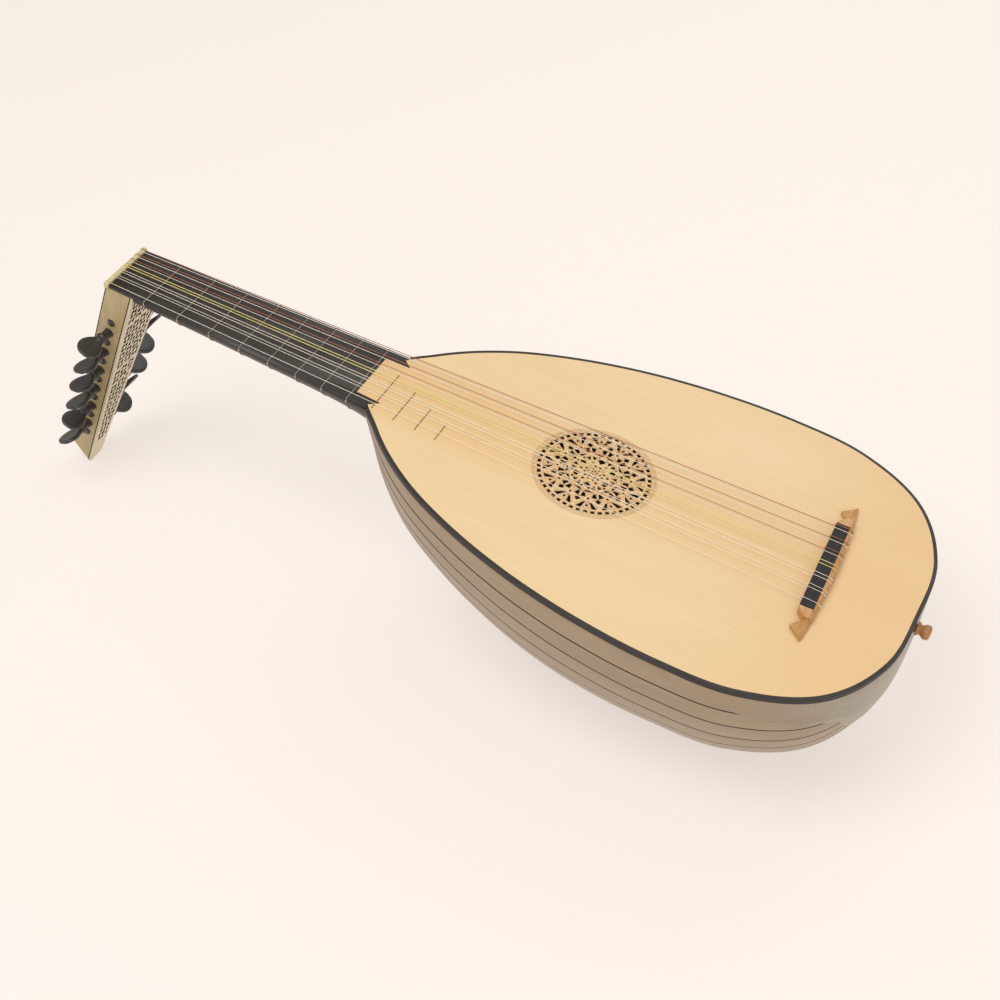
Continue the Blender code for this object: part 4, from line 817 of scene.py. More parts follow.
# Fine teeth burnt in round the rose, each a thin sliver let into the board
toothTree, add, ins = newTree("roseTeeth", (
    ("Teeth", "NodeSocketInt"), ("Ring Radius", "NodeSocketFloat"), ("Tooth Length", "NodeSocketFloat"),
    ("Tooth Width", "NodeSocketFloat"), ("Middle", "NodeSocketVector"), ("Wood", "NodeSocketMaterial"),
))
ring = add("GeometryNodeMeshCircle", {"Vertices": ins["Teeth"], "Radius": ins["Ring Radius"]})
sliver = add("GeometryNodeMeshCone", {"Vertices": 6, "Radius Top": 0.35, "Radius Bottom": 0.5, "Depth": 1.0})
size = add("ShaderNodeCombineXYZ", (ins["Tooth Length"], ins["Tooth Width"], 0.0002))
aim = add("FunctionNodeAlignRotationToVector", {"Vector": add("GeometryNodeInputPosition")}, axis="X")
placed = {"Points": ring, "Instance": sliver, "Rotation": aim, "Scale": size}
teeth = add("GeometryNodeInstanceOnPoints", placed)
rings = []
for offset in (-0.0015, 0.0014):  # two burnt lines, one inside the teeth and one outside
    reach = add("ShaderNodeMath", (ins["Ring Radius"], offset))
    path = add("GeometryNodeCurvePrimitiveCircle", {"Resolution": 144, "Radius": reach})
    thread = add("GeometryNodeCurvePrimitiveCircle", {"Resolution": 6, "Radius": 0.00012})
    rings.append(add("GeometryNodeCurveToMesh", {"Curve": path, "Profile Curve": thread}))
everyTooth = add("GeometryNodeJoinGeometry", ([teeth, *rings],))
everyTooth = add("GeometryNodeTransform", {"Geometry": everyTooth, "Translation": ins["Middle"]})
finished(add, everyTooth, ins["Wood"])
teeth = grown("roseTeeth", toothTree, {
    "Teeth": rose["teeth"], "Ring Radius": rose["teethRadius"], "Tooth Length": rose["toothLength"],
    "Tooth Width": rose["toothWidth"], "Middle": (rose["x"], 0.0, 0.0), "Wood": burntWood,
})
give(teeth, "spruce_soundboard")
print("soundboard and rose made")


# Neck, fingerboard, frets

neck = {
    "nutX": -0.300, "nutHalf": 0.0272, "jointHalf": 0.0355, "nutDepth": 0.0200, "heelDepth": 0.0270,
    "heel": 0.0110, "heelRun": 0.0200, "shape": 1.3, "boardThickness": 0.0022, "fretGauge": 0.0008,
    "tiedFrets": 8,
}
pegbox = {
    "lean": math.radians(13.0), "x": 0.0028, "length": 0.2150, "toe": 0.0150, "depthTop": 0.0255,
    "depthTip": 0.0215, "tipHalf": 0.0100, "cheekTop": 0.0034, "cheekTip": 0.0050, "panel": 0.0020,
    "headBlock": 0.0190, "headFront": 0.0008, "headFoot": 0.0048, "tipBlock": 0.0140,
}


def neckShare(x):
    return (x - neck["nutX"]) / (outline["neckX"] - neck["nutX"])


def neckHalf(x):
    return neck["nutHalf"] + (neck["jointHalf"] - neck["nutHalf"]) * neckShare(x)


def neckDepth(x):
    swell = neck["heel"] * math.exp((x - outline["neckX"]) / neck["heelRun"])
    return neck["nutDepth"] + (neck["heelDepth"] - neck["nutDepth"]) * neckShare(x) + swell


def neckSection(x, out=0.0, sides=36):
    top = -neck["boardThickness"] - gap / 2
    a, b = neckHalf(x) + out, neckDepth(x) + top + out
    points = []
    for i in range(sides + 1):
        t = math.pi * i / sides
        y = -math.copysign(a * abs(math.cos(t)) ** neck["shape"], math.cos(t)) if i * 2 != sides else 0.0
        points.append((y, top - b * math.sin(t) ** neck["shape"]))
    return points


def fretX(number):
    return neck["nutX"] - 2 * neck["nutX"] * (1 - 2 ** (-number / 12))


def pegboxBackX(z):
    lean = pegbox["lean"]
    return neck["nutX"] - pegbox["x"] + pegbox["depthTop"] / math.cos(lean) + z * math.tan(lean)


def makeNeck():
    start = pegboxBackX(0) + neck["nutDepth"] * 0.05
    end = outline["neckX"] - gap
    sections = [[(pegboxBackX(z) + 2 * gap, y, z) for y, z in neckSection(start)]]
    for s in np.linspace(0.04, 1, 48):
        x = start + (end - start) * float(s)
        sections.append([(x, y, z) for y, z in neckSection(x)])
    give(skin("neckShaft", sections, blackWood), "black_hardwood", "neck")


def makeFingerboard():
    tipX, tipY = soundboard["pointTip"]
    rootX, rootY = soundboard["pointRoot"]
    end = outline["neckX"] - gap
    bass = [
        (neck["nutX"], neck["nutHalf"]), (end, neck["jointHalf"]), (rootX, rootY), (tipX, tipY),
        (soundboard["tongueX"], soundboard["tongueHalf"]),
    ]
    loop = bass + [(x, -y) for x, y in bass[::-1]]
    board = flatPlate("fingerboardTop", [loop], -neck["boardThickness"], 0.0, blackWood)
    give(board, "black_hardwood", "fingerboard")


makeNeck()
makeFingerboard()

# A tied fret is one length of gut, here taken once round the neck, knotted at the treble edge.
fretTree, add, ins = newTree("tiedFrets", (
    ("Paths", "NodeSocketObject"), ("Gut Radius", "NodeSocketFloat"), ("Knot Size", "NodeSocketFloat"),
    ("Gut", "NodeSocketMaterial"),
))
paths = add("GeometryNodeObjectInfo", {"Object": ins["Paths"]}).outputs["Geometry"]
gutProfile = add("GeometryNodeCurvePrimitiveCircle", {"Resolution": 10, "Radius": ins["Gut Radius"]})
gutTube = add("GeometryNodeCurveToMesh", {"Curve": paths, "Profile Curve": gutProfile, "Fill Caps": True})
ends = add("GeometryNodeCurveEndpointSelection")
knotBall = add("GeometryNodeMeshIcoSphere", {"Radius": ins["Knot Size"], "Subdivisions": 2})
placed = {"Points": paths, "Selection": ends, "Instance": knotBall, "Scale": (1.5, 0.8, 0.8)}
knots = add("GeometryNodeInstanceOnPoints", placed)
everyGut = add("GeometryNodeJoinGeometry", ([gutTube, knots],))
finished(add, everyGut, ins["Gut"])


def fretPath(number):
    x = fretX(number)
    r = neck["fretGauge"] / 2
    under = neckSection(x, out=r - 0.0001)[1:-1]
    top = gap / 2 + r
    edge = neckHalf(x) + r
    level = -neck["boardThickness"] * 0.6
    loop = [(-edge, level - 0.0006), (-edge, level), (-edge, top - 0.5 * r), (-edge + 0.6 * r, top)]
    loop += [(edge - 0.6 * r, top), (edge, top - 0.5 * r), (edge, level)]
    loop += [*under[::-1], (-edge, level - 0.0012)]
    return [(x, y, z) for y, z in loop]


frets = grown("tiedFrets", fretTree, {
    "Paths": linesObject("fretPaths", [fretPath(n) for n in range(1, neck["tiedFrets"] + 1)]),
    "Gut Radius": neck["fretGauge"] / 2 * 0.72, "Knot Size": 0.0006, "Gut": fretGut,
})
give(frets, "bone_nut")
print("neck, fingerboard and frets made")

# Body frets: the fret's number, and where the slip starts and ends across the board
bodyFrets = ((9, -0.0334, 0.0120), (10, -0.0359, 0.0017), (11, -0.0365, -0.0089), (12, -0.0372, -0.0188))


def makeBodyFrets():
    strips = []
    for number, start, end in bodyFrets:
        x = fretX(number)
        sections = []
        for y in (start, start + 0.0006, end - 0.0006, end):
            high = 0.0004 if y in (start, end) else 0.0007
            side = high * 0.8
            cut = ((-0.0003, -0.0001), (0.0003, -0.0001), (0.0002, side), (0, high), (-0.0002, side))
            sections.append([(x + along, y, z) for along, z in cut])
        strips.append(skin("bodyFret", sections, fretWood))
    give(merged("bodyFrets", strips), "fruitwood_bridge")


makeBodyFrets()


# Pegbox

def pegboxAxes():
    lean = pegbox["lean"]
    return (
        Vector((neck["nutX"] - pegbox["x"], 0, 0)), Vector((-math.sin(lean), 0, -math.cos(lean))),
        Vector((math.cos(lean), 0, -math.sin(lean))),
    )


def pegboxPoint(s, q, y):
    origin, down, back = pegboxAxes()
    return origin + down * s + back * q + Vector((0, y, 0))


def alongPegbox(top, tip, s):  # a size that changes evenly from the pegbox's top to its tip
    return top + (tip - top) * s / pegbox["length"]


def pegboxHalf(s):
    return alongPegbox(neck["nutHalf"], pegbox["tipHalf"], s)


def pegboxDepth(s):
    return alongPegbox(pegbox["depthTop"], pegbox["depthTip"], s)


def cheekInner(s):
    return pegboxHalf(s) - alongPegbox(pegbox["cheekTop"], pegbox["cheekTip"], s)


def stainedInside(add, color):
    # Painted shade: inside the pegbox, and on the walls of the cuts through its back, the wood is painted
    # black-brown for the shade that falls there.
    origin, down, back = pegboxAxes()
    place = add("ShaderNodeTexCoord").outputs["Object"]
    place = add("ShaderNodeVectorMath", (place, origin), operation="SUBTRACT")
    s, q = (add("ShaderNodeVectorMath", (place, way), operation="DOT_PRODUCT") for way in (down, back))
    side = add("ShaderNodeSeparateXYZ", (place,)).outputs[1]
    side = add("ShaderNodeMath", (side,), operation="ABSOLUTE")
    inner = cheekInner(0)
    narrowing = (inner - cheekInner(pegbox["length"])) / pegbox["length"]
    side = add("ShaderNodeMath", (s, narrowing, side), operation="MULTIPLY_ADD")
    side = add("ShaderNodeMapRange", (side, inner + 0.0004, inner + 0.0006, 1.0, 0.0))
    back = pegbox["depthTop"]
    slope = (back - pegbox["depthTip"]) / pegbox["length"]
    deep = add("ShaderNodeMath", (s, slope, q), operation="MULTIPLY_ADD")
    deep = add("ShaderNodeMapRange", (deep, back - 0.0002, back - 0.00005, 1.0, 0.0))
    share = add("ShaderNodeMath", (side, deep), operation="MULTIPLY")
    return add("ShaderNodeMix", {0: share, 6: color, 7: linear("#1a110c")}, data_type="RGBA")


paleWood = woodFinish("satinSycamore", {  # close-grained and pale, with soft streaks along the pegbox
    "grain": (0.0030, 0.0022, 0.060), "cloud": (30, 30, 8), "colors": ("#bfac80", "#b19c70", "#a9926a"),
    "rough": (0.38, 0.50), "relief": 0.08, "coat": 0.15, "tune": stainedInside,
})
litPanelWood = woodFinish("carvedSycamore", {  # the same wood painted paler: painted light, the back face lit where the cheeks' sides are in shade
    "grain": (0.0030, 0.0022, 0.050), "cloud": (30, 30, 8), "colors": ("#e2d5b8", "#d5c6a6", "#cab898"),
    "rough": (0.42, 0.55), "relief": 0.10, "coat": 0.08, "tune": stainedInside,
})


# Pegs: a tapered shaft, a turned collar and a flat heart-shaped thumb piece

pegs = {
    "first": 0.0390, "endClearance": 0.0096, "radius": 0.0042, "taper": 0.033, "neck": 0.0120,
    "headLength": 0.0205, "headWidth": 0.0200, "headThickness": 0.0070, "collar": 0.0052, "overhang": 0.0008,
    "splay": math.radians(5.0), "setBack": 0.0015,
    "turns": (118, 160, 30, 20, 124, 12, 34, 24, 28, 168, 120, 30, 40),
}
thumbShape = (  # share of the thumb piece's length, width and thickness
    (-0.10, 0.30, 0.95), (0.08, 0.50, 0.88), (0.30, 0.92, 0.70), (0.55, 1.06, 0.58), (0.80, 0.94, 0.52),
    (0.97, 0.62, 0.50), (1.03, 0.30, 0.46),
)
thumbCut = ((-1.0, 0.72), (-0.62, 0.98), (0.0, 0.80), (0.62, 0.98), (1.0, 0.72))  # hollowed in the middle
courses = (  # the gauges of their strings
    (0.0006,), (0.0006, 0.0006), (0.0007, 0.0007), (0.0008, 0.0008), (0.0006, 0.0009), (0.0007, 0.0010),
    (0.0007, 0.0011),
)
lastPeg = pegbox["length"] - pegbox["tipBlock"] - pegs["endClearance"]
pegStep = (lastPeg - pegs["first"]) / (sum(map(len, courses)) - 1)
pegAxis = Vector((math.sin(pegs["splay"]), math.cos(pegs["splay"]), 0))


def pegList():
    made = []
    for i, turn in enumerate(pegs["turns"]):
        s = pegs["first"] + pegStep * i
        centre = pegboxPoint(s, pegboxDepth(s) / 2 + pegs["setBack"], 0)
        side = 1 if i % 2 == 0 else -1
        made.append({"s": s, "side": side, "centre": centre, "half": pegboxHalf(s), "turn": turn})
    return made


def pegRadius(peg, across):
    return pegs["radius"] - pegs["taper"] / 2 * (across + peg["half"])


def makePeg(name, peg):
    half = peg["half"]
    slope = (neck["nutHalf"] - pegbox["tipHalf"]) / pegbox["length"]
    tip = -half - pegs["overhang"] - slope * pegs["radius"]
    head = half + pegs["neck"] + 0.0012
    collar, shaft = pegs["collar"], pegs["radius"]
    profile = [
        (0.0022, head + 0.0034), (0.0034, head + 0.0012), (0.0040, head - 0.0002), (0.0041, head - 0.0014),
        (0.0047, head - 0.0020), (collar, head - 0.0028), (collar, head - 0.0040), (0.0046, head - 0.0048),
        (shaft * 0.90, head - 0.0056), (shaft * 0.92, head - 0.0080), (pegRadius(peg, -half), half),
        (pegRadius(peg, -tip), tip + 0.0005), (pegRadius(peg, -tip) * 0.8, tip),
    ]
    stem = skin(name, [[(x, y, z) for x, y in circleLoop(r, 32)] for r, z in profile], pegWood, 50)
    w, t, length = pegs["headWidth"] / 2, pegs["headThickness"] / 2, pegs["headLength"]
    cage = []
    for along, wide, thick in thumbShape:
        front = [(u * w * wide, t * thick * v, head + length * along) for u, v in thumbCut]
        cage.append(front + [(x, -y, z) for x, y, z in front[::-1]])
    thumb = skin(name + "Head", cage, pegWood, 60)
    soft = thumb.modifiers.new("soft", "SUBSURF")
    soft.levels = soft.render_levels = 2
    thumb = settled(thumb, 60)
    whole = merged(name, [stem, thumb])
    stand = Matrix.Rotation(-pegs["splay"], 4, "Z") @ Matrix.Rotation(-peg["side"] * math.radians(90), 4, "X")
    turn = Matrix.Rotation(math.radians(peg["turn"]), 4, "Z")
    whole.data.transform(Matrix.Translation(peg["centre"]) @ stand @ turn)
    node = "peg_" + name[3:].lower()
    give(whole, "black_hardwood", node, body=node)


# Strings

strings = {
    "nutHeight": 0.0019, "bridgeHeight": 0.0056, "firstNut": -0.0252, "secondNut": -0.0150, "stepNut": 0.0078,
    "pairNut": 0.0028, "firstBridge": -0.0400, "stepBridge": 0.0138, "pairBridge": 0.0038,
    "nutLength": 0.0040, "clearance": 0.00045, "turns": 1.75, "start": 0.5,
    "drawn": {"white": 0.70, "yellow": 0.80, "red": 0.56},  # share of the gauge, as thin as they look
}
bridge = {
    "x": 0.300, "offset": 0.0015, "skew": math.radians(2.5), "depth": 0.0150, "height": 0.0068,
    "capDepth": 0.0106, "capThickness": 0.0012,
}
bridgeFrame = Matrix.Translation((bridge["x"], bridge["offset"], 0)) @ Matrix.Rotation(bridge["skew"], 4, "Z")


def stringList(everyPeg):
    made = []
    for course, gauges in enumerate(courses, start=1):
        acrossNut = strings["secondNut"] + strings["stepNut"] * (course - 2)
        acrossNut = strings["firstNut"] if course == 1 else acrossNut
        acrossBridge = strings["firstBridge"] + strings["stepBridge"] * (course - 1)
        for i, gauge in enumerate(gauges):
            side = i - (len(gauges) - 1) / 2
            front = Vector((0, acrossBridge + side * strings["pairBridge"], strings["bridgeHeight"]))
            front = bridgeFrame @ front
            nut = Vector((neck["nutX"], acrossNut + side * strings["pairNut"], strings["nutHeight"]))
            run = (front - nut).normalized()
            made.append({
                "name": str(course) + ("" if len(gauges) == 1 else "ab"[i]), "gauge": gauge, "front": front,
                "kind": "yellow" if course == 4 else "red" if course > 4 and i else "white", "nut": nut,
                "level": Vector((run.x, run.y, 0)).normalized(),
            })
    treble = [p for p in everyPeg if p["side"] < 0]
    bass = [p for p in everyPeg if p["side"] > 0]
    for string, peg in zip(made[:len(treble)], treble):
        string["peg"] = peg
    for string, peg in zip(made[::-1], bass):
        string["peg"] = peg
    return made


def bridgeEnd(string):  # out behind the bridge, over the cap and down its front to the knot
    r = string["gauge"] / 2 * 0.7
    front, level = string["front"], string["level"]
    up = Vector((0, 0, 1))
    over = up * (bridge["height"] + 2 * gap + r - front.z)
    before = -level * (gap + r)
    deep = level * bridge["depth"]
    loop = [
        front + before + up * (2 * r + 0.0002), front + before + over - up * 0.0004,
        front + level * 0.0008 + over, front + level * bridge["capDepth"] * 0.5 + over,
        front + level * (bridge["capDepth"] + gap) + over - up * 0.0001,
        front + deep * 0.86 + over - up * 0.0008, front + deep * 0.965 + up * 0.0006,
        front + deep * 0.97 - up * 0.0001, front + deep * 0.9,
    ]
    return [*catmull(loop, 5), front - level * 0.0015]


def windingOf(string):
    peg = string["peg"]
    r = string["gauge"] / 2
    splay = Matrix.Rotation(-pegs["splay"], 3, "Z")
    origin, down, back = pegboxAxes()
    down, back = splay @ down, splay @ back
    room = cheekInner(peg["s"]) - 3 * gap - r - pegs["radius"] * math.sin(pegs["splay"])
    yEnd = peg["side"] * room
    yStart = yEnd * strings["start"]
    radius = pegRadius(peg, -room) + 0.00005 + strings["clearance"] + r
    lip = Vector((neck["nutX"] - gap - strings["nutLength"], string["nut"].y, strings["nutHeight"]))
    leave = lip + Vector((-0.0003 - r, 0, -0.0006 - r))
    away = leave - peg["centre"]
    m1, m2 = away.dot(-back), away.dot(down)
    start = math.atan2(m2, m1) + math.acos(radius / math.hypot(m1, m2))
    points = [string["nut"] + Vector((0.001, 0, 0)), lip + Vector((0.0008, 0, -0.00002))]
    points += [lip + Vector((-0.0001, 0, -0.0002)), leave]
    count = round(24 * strings["turns"])
    for i in range(count + 1):
        share = i / count
        angle = start + 2 * math.pi * strings["turns"] * share
        side = pegAxis * (yStart + (yEnd - yStart) * share)
        out = (-back * math.cos(angle) + down * math.sin(angle)) * (radius - 0.0003)
        points.append(peg["centre"] + out + side)
    return points


stringTree, add, ins = newTree("woundStrings", (
    ("Paths", "NodeSocketObject"), ("Sides", "NodeSocketInt"), ("Finish", "NodeSocketMaterial"),
))
paths = add("GeometryNodeObjectInfo", {"Object": ins["Paths"]}).outputs["Geometry"]
section = add("GeometryNodeCurvePrimitiveCircle", {"Resolution": ins["Sides"], "Radius": 1.0})
gauge = add("GeometryNodeInputRadius")
swept = {"Curve": paths, "Profile Curve": section, "Fill Caps": True, "Scale": gauge}
wound = add("GeometryNodeCurveToMesh", swept)
finished(add, wound, ins["Finish"])

everyPeg = pegList()
everyString = stringList(everyPeg)
for string in everyString:
    makePeg("peg" + string["name"].upper(), string["peg"])

for kind, finish in (("white", whiteString), ("yellow", yellowString), ("red", redString)):
    members = [s for s in everyString if s["kind"] == kind]
    runs = [[*bridgeEnd(s), *windingOf(s)] for s in members]
    radii = [s["gauge"] / 2 * strings["drawn"][kind] for s in members]
    made = grown(kind + "Strings", stringTree, {
        "Paths": linesObject(kind + "Paths", runs, radii=radii), "Sides": 10, "Finish": finish,
    })
    give(made, kind + "_string", *["string_" + s["name"] for s in members])
print("pegs and strings made")


# Pegbox back: the blocks at its top and tip, and a panel pierced with small leaves between plain bars

panel = {
    "along": 0.0060, "across": 0.0052, "leaf": 0.0058, "leafWidth": 0.0040, "bend": 0.0008, "border": 0.0036,
    "seed": 11, "plots": ((0.0052, 0.0360), (0.0392, 0.0985), (0.1012, 0.1200), (0.1220, 0.2040)),
    "nutBottom": 0.0026,
}


def topCut(q):
    return (panel["nutBottom"] + gap - q * math.sin(pegbox["lean"])) / math.cos(pegbox["lean"])


def toe(q):
    return pegbox["length"] + pegbox["toe"] * q / pegbox["depthTip"]


def leafLoop(s, y, turn, size, flip):
    long, wide, bend = panel["leaf"] * size / 2, panel["leafWidth"] * size / 2, panel["bend"] * size * flip
    loop = []
    for u, v in circleLoop(1, 12):
        aside = wide * v * (1 - 0.35 * u) + bend * (1 - u * u) - bend * 0.5
        down, across = turned(long * u, aside, turn)
        loop.append((s + down, y + across))
    return loop


def leafHoles():
    chance = random.Random(panel["seed"])
    loops = []
    for start, stop in panel["plots"]:
        rows = max(1, round((stop - start) / panel["along"]))
        pitch = (stop - start) / rows
        for row in range(rows):
            s = start + pitch * (row + 0.5)
            half = pegboxHalf(s) - panel["border"]
            count = max(1, round(2 * half / panel["across"]))
            width = 2 * half / count
            for i in range(count):
                y = -half + width * (i + 0.5) + (0.0004 if row % 2 else -0.0004)
                lean = (0.45 if (row + i) % 2 else -0.45) + chance.uniform(-0.25, 0.25)
                size = min(width / panel["across"], pitch / panel["along"]) * chance.uniform(0.86, 1.0)
                aside = (0.25 if i % 2 else -0.25) * pitch * (1 - size * 0.6)
                loops.append(leafLoop(s + aside, y, lean, size, chance.choice((-1, 1))))
    return loops


def makePegboxBack():
    end, top = toe(pegbox["depthTip"]), topCut(pegboxDepth(0))
    edge = [(top, -pegboxHalf(top)), (end, -pegboxHalf(end)), (end, pegboxHalf(end)), (top, pegboxHalf(top))]
    board = pierced("pegboxBack", [edge, *leafHoles()], -pegbox["panel"] / 2, pegbox["panel"] / 2, litPanelWood)
    origin, down, back = pegboxAxes()
    slope = math.atan((pegbox["depthTop"] - pegbox["depthTip"]) / pegbox["length"])
    along = down * math.cos(slope) - back * math.sin(slope)
    out = down * math.sin(slope) + back * math.cos(slope)
    middle = origin + back * pegbox["depthTop"] - out * pegbox["panel"] / 2
    rows = ((along.x, 0, out.x, middle.x), (0, 1, 0, 0), (along.z, 0, out.z, middle.z), (0, 0, 0, 1))
    board.matrix_world = Matrix(rows)
    pieces = [board]
    length, tipStart = pegbox["headBlock"], pegbox["length"] - pegbox["tipBlock"]
    for start, stop, (near, far) in (
        (topCut, lambda q: length, (pegbox["headFront"], pegbox["headFoot"])),
        (lambda q: tipStart, lambda q: toe(q) - gap, (0.0, 0.0)),
    ):
        sideOn = [(start(near), near), (stop(far), far)]
        for edgeOf in (stop, start):
            depth = pegboxDepth(edgeOf(pegbox["depthTip"])) - pegbox["panel"] / 2
            sideOn.append((edgeOf(depth), depth))
        ends = [[pegboxPoint(s, q, side * (cheekInner(s) - gap)) for s, q in sideOn] for side in (-1, 1)]
        pieces.append(skin("block", ends, litPanelWood))
    bpy.context.view_layer.update()
    give(merged("pegboxBack", pieces), "pale_pegbox_wood", "pegbox_back")


def makePegboxLines():
    # Thin black strips down each cheek, partly sunk into it and standing just proud: one at its open front
    # edge and one where the back joins it
    strips = []
    for side in (-1, 1):
        for atBack, deep, proud in ((False, 0.0010, 0.00012), (True, 0.0011, 0.00016)):
            sections = []
            for share in (0.0, 0.35, 0.7, 1.0):
                section = []
                for u, v in ((0, 0), (0, 0.7), (0.2, 1), (0.8, 1), (1, 0.7), (1, 0)):
                    s = 0.002 + (pegbox["length"] - 0.002) * share
                    q = (pegboxDepth(s) - pegbox["panel"] - gap - 0.0006 if atBack else -0.0001) + deep * u
                    s = topCut(q) + 0.0003 + (toe(q) - 0.0004 - topCut(q)) * share
                    section.append(pegboxPoint(s, q, side * (pegboxHalf(s) - 0.0006 + (0.0006 + proud) * v)))
                sections.append(section)
            strips.append(skin("strip", sections, capWood))
    give(merged("pegboxLines", strips), "black_hardwood")


makePegboxBack()
makePegboxLines()


# Bridge: one carved stick, stepped for its cap, with a hooked leaf at each end

carving = {  # out from the middle, front edge, back edge, height; the neck is flat-topped and the leaf ridged
    "neck": (
        (0.0479, 0.0000, 0.0131, 0.0067), (0.0500, 0.0004, 0.0130, 0.0067), (0.0525, 0.0024, 0.0129, 0.0066),
        (0.0550, 0.0044, 0.0128, 0.0065), (0.0572, 0.0056, 0.0126, 0.0064),
    ),
    "leaf": (
        (0.0574, 0.0057, 0.0125, 0.0054), (0.0590, 0.0052, 0.0124, 0.0053), (0.0610, 0.0032, 0.0122, 0.0052),
        (0.0630, 0.0012, 0.0120, 0.0051), (0.0648, -0.0002, 0.0119, 0.005), (0.0662, -0.0005, 0.0118, 0.0048),
        (0.0676, 0.0008, 0.0117, 0.0045), (0.0700, 0.0034, 0.0115, 0.0041), (0.0730, 0.0068, 0.0111, 0.0035),
        (0.0752, 0.0092, 0.0107, 0.0030), (0.0763, 0.0101, 0.0104, 0.0027),
    ),
}
cuts = {  # share of the width, and of the height, from the front edge round to the back
    "neck": ((0, 0.94), (0.05, 1), (0.25, 1), (0.45, 1), (0.62, 1), (0.78, 0.99), (0.90, 0.86), (1, 0.62)),
    "leaf": (
        (0, 0.42), (0.04, 0.5), (0.26, 0.72), (0.52, 1), (0.58, 1), (0.74, 0.8), (0.96, 0.48), (1, 0.42),
    ),
}


def bridgeSections():
    seat, high = bridge["height"] + gap - bridge["capThickness"], bridge["height"]
    back, half = bridge["capDepth"] + gap, 0.0478
    sections = []
    for y in np.linspace(-half, half, 25):
        rear = bridge["depth"] - 0.0019 * abs(float(y)) / half
        cut = (
            (0, gap), (0, seat - 0.0002), (0.0002, seat), (back * 0.5, seat), (back, seat),
            (back, high + 0.0002), (back + (rear - back) * 0.5, high - 0.0003), (rear, 0.0054),
            (rear, 0.0030), (rear, gap),
        )
        sections.append([(x, y, z) for x, z in cut])
    wing = []
    for part, rows in carving.items():
        for y, front, rear, high in rows:
            top = [(front + (rear - front) * u, y, gap + high * v) for u, v in cuts[part]]
            wing.append([(front, y, gap), *top, (rear, y, gap)])
    far = [[(x, -y, z) for x, y, z in section] for section in wing[::-1]]
    return far + sections + wing


def makeBridge():
    stick = skin("carvedBridge", bridgeSections(), bridgeWood, 16)
    stick.data.transform(bridgeFrame)
    give(stick, "fruitwood_bridge", "bridge")


makeBridge()
print("pegbox back and bridge made")


# Tail clasp with the block inside it, and the end button

def greyTail(add, color):  # the clasp is as brown as the ribs at its two ends and greyer at the tail
    place = add("ShaderNodeTexCoord").outputs["Object"]
    along = add("ShaderNodeSeparateXYZ", (place,)).outputs[0]
    share = add("ShaderNodeMapRange", (along, 0.29, 0.37, 1.0, 0.0), interpolation_type="SMOOTHSTEP")
    return add("ShaderNodeMix", {0: share, 6: color, 7: linear("#a28c71")}, data_type="RGBA")


claspWood = woodFinish("satinClaspWood", {  # the same wood with its grain running round the tail
    "grain": (0.003, 0.060, 0.003), "cloud": (20, 8, 20), "colors": ("#aba08f", "#9f927f", "#968975"),
    "drift": 0.45, "rough": (0.36, 0.48), "relief": 0.08, "coat": 0.10, "tune": greyTail,
})


def makeClasp():
    rows, columns = 40, 90
    steps = np.arange(361.0)
    thin = np.clip(np.linspace(-9, 1, rows + 1), 0, 0.9)  # scraped down to the ribs at its edge
    layers = [], []
    for j in range(columns + 1):
        phi = math.pi * j / columns
        fromBinding = math.degrees(min(phi, math.pi - phi))
        edge = 18.0 + 7.5 * math.cos(phi) ** 2 + 34.5 * math.exp(-(fromBinding / 9.4) ** 2)
        outer, inner = (profileAt(math.sin(phi), inset) for inset in (0, bowl["claspThickness"]))
        spots = np.linspace(0.0, 1.0, rows + 1) * edge * 2
        up = Vector((0, 0, -bowl["axisZ"] - binding["side"] - 0.0002)) if j in (0, columns) else Vector()
        for layer, share in zip(layers, (thin, np.ones(rows + 1))):
            x, rho = (
                np.interp(spots, steps, a) * (1 - share) + np.interp(spots, steps, b) * share
                for a, b in zip(outer, inner)
            )
            layer += [Vector(bowlPoint(a, max(float(b), 0.0), phi)) + up for a, b in zip(x, rho)]
    faces = []
    total = len(layers[0])
    for j in range(columns):
        for i in range(rows):
            a = j * (rows + 1) + i
            b = a + rows + 1
            faces.append((a, a + 1, b + 1, b))
            faces.append((a + total, b + total, b + 1 + total, a + 1 + total))
        a = j * (rows + 1) + rows
        b = a + rows + 1
        faces.append((a, a + total, b + total, b))
    for a in (*range(rows), *range(total - rows - 1, total - 1)):
        faces.append((a, a + total, a + 1 + total, a + 1))
    clasp = pieceFrom("tailClasp", layers[0] + layers[1], faces, claspWood)
    give(clasp, "bowl_rib_wood", "tail_block")


tailBlock = {"depth": 0.0120, "radius": 0.0395}


def makeTailBlock():  # sawn softwood behind the button, flat towards the neck and fitted to the ribs
    face = outline["centreX"] + outline["radii"][0] - tailBlock["depth"]
    inset = bowl["inset"] + bowl["thickness"] + gap
    sections = []
    for k in range(25):
        phi = math.pi * k / 24
        xs, rhos = profileAt(math.sin(phi), inset)
        line = []
        for r in np.linspace(0, tailBlock["radius"], 9):
            x = float(np.interp(r, rhos[:120], xs[:120]))
            line.append(bowlPoint(max(x, face + 0.004), float(r), phi))
        line += [bowlPoint(face, float(r), phi) for r in np.linspace(tailBlock["radius"], 0, 9)]
        sections.append(line)
    block = skin("innerTailBlock", sections, innerWood)
    give(block, "inner_block_wood")


button = {"drop": 0.0130, "shank": 0.0034, "radius": 0.0058, "reach": 0.0120, "shankLength": 0.0090}


def tailX(drop):
    xs, rhos = profileAt(1, 0)
    return float(np.interp(drop + bowl["axisZ"], rhos[:60], xs[:60]))


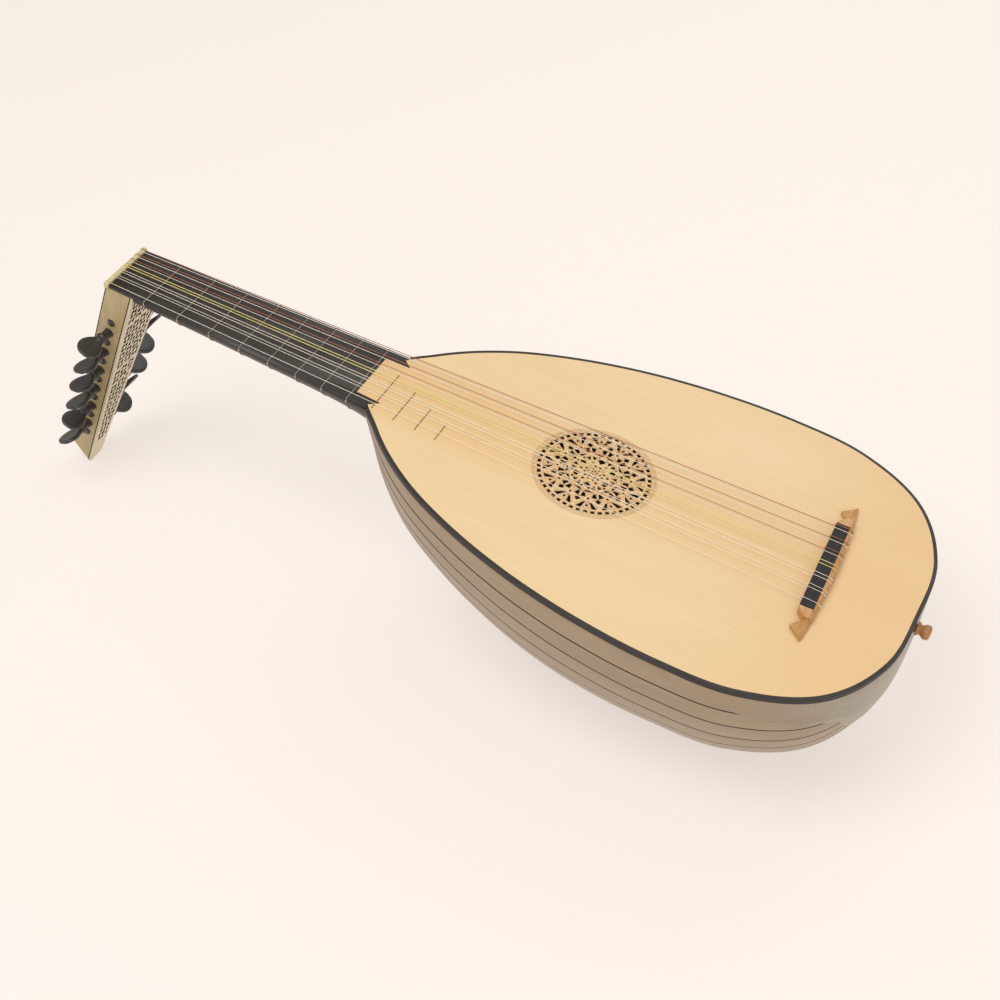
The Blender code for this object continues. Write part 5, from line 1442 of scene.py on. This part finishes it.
def makeButton():
    seat = tailX(button["drop"]) + gap
    reach, shank = button["reach"], button["shank"]
    cage = (  # share of the radius, share of the reach
        (0.30, 1.0), (0.60, 0.985), (0.86, 0.93), (1.0, 0.80), (0.98, 0.62), (0.80, 0.48), (0.70, 0.38),
        (0.72, 0.28), (0.90, 0.20), (0.92, 0.06),
    )
    cage = [(button["radius"] * out, reach * along, 0) for out, along in cage]
    cage += [(shank, 0.03 * reach, 0), (shank, -button["shankLength"], 0)]
    sections = []
    for r, along, _ in catmull(cage, 3):
        sections.append([(seat + along, y, z - button["drop"]) for y, z in circleLoop(r, 40)])
    give(skin("endButton", sections, buttonWood, 50), "fruitwood_bridge", "end_button")


makeClasp()
makeTailBlock()
makeButton()
print("tail clasp and button made")


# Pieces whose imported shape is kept, with their finishes

for node, finish in (
    ("pegbox_cheek_treble", paleWood), ("pegbox_cheek_bass", paleWood), ("neck_block", innerWood),
    ("nut", bone), ("bridge_cap", capWood),
):
    for slot in bpy.data.objects[node].material_slots:
        slot.material = finish


# Floor: the lute rests on the tip of its pegbox and on the round of its bowl

def makeFloor():
    def sideOn(names):
        return [Vector((v.co.x, 0, v.co.z)) for name in names for v in bpy.data.objects[name].data.vertices]

    slope, low = 0.0, None
    under, over = sideOn(["pegboxBack", "pegboxLines"]), sideOn(["bowlRibs", "tailClasp"])
    for _ in range(4):
        low = min(under, key=lambda v: v.z - slope * v.x)
        slope = min((v.z - low.z) / (v.x - low.x) for v in over if v.x > 0)
    slope = math.atan(slope)
    middle = low + Vector((0.25, 0, 0.25 * math.tan(slope) - 0.0006))
    floor = bpy.data.meshes.new("floor")
    half = 8.0
    corners = [(-half, -half, 0), (half, -half, 0), (half, half, 0), (-half, half, 0)]
    floor.from_pydata(corners, [], [(0, 1, 2, 3)])
    sheet = plainObject("floor", floor)
    floor.transform(Matrix.Translation(middle) @ Matrix.Rotation(-slope, 4, "Y"))
    material, add = newMaterial("paleStudioPaper")
    place = add("ShaderNodeTexCoord").outputs["Object"]
    mottle = add("ShaderNodeTexNoise", {"Vector": place, "Scale": 300.0, "Detail": 2.0})
    color = add("ShaderNodeMix", {0: mottle, 6: linear("#aaa5a1"), 7: linear("#a7a29d")}, data_type="RGBA")
    shader = add("ShaderNodeBsdfPrincipled", {
        "Base Color": color, "Roughness": 0.9, "Emission Color": linear("#fcf3ec"), "Emission Strength": 0.62,
    })
    add("ShaderNodeOutputMaterial", {"Surface": shader})
    floor.materials.append(material)


makeFloor()
print("floor laid")
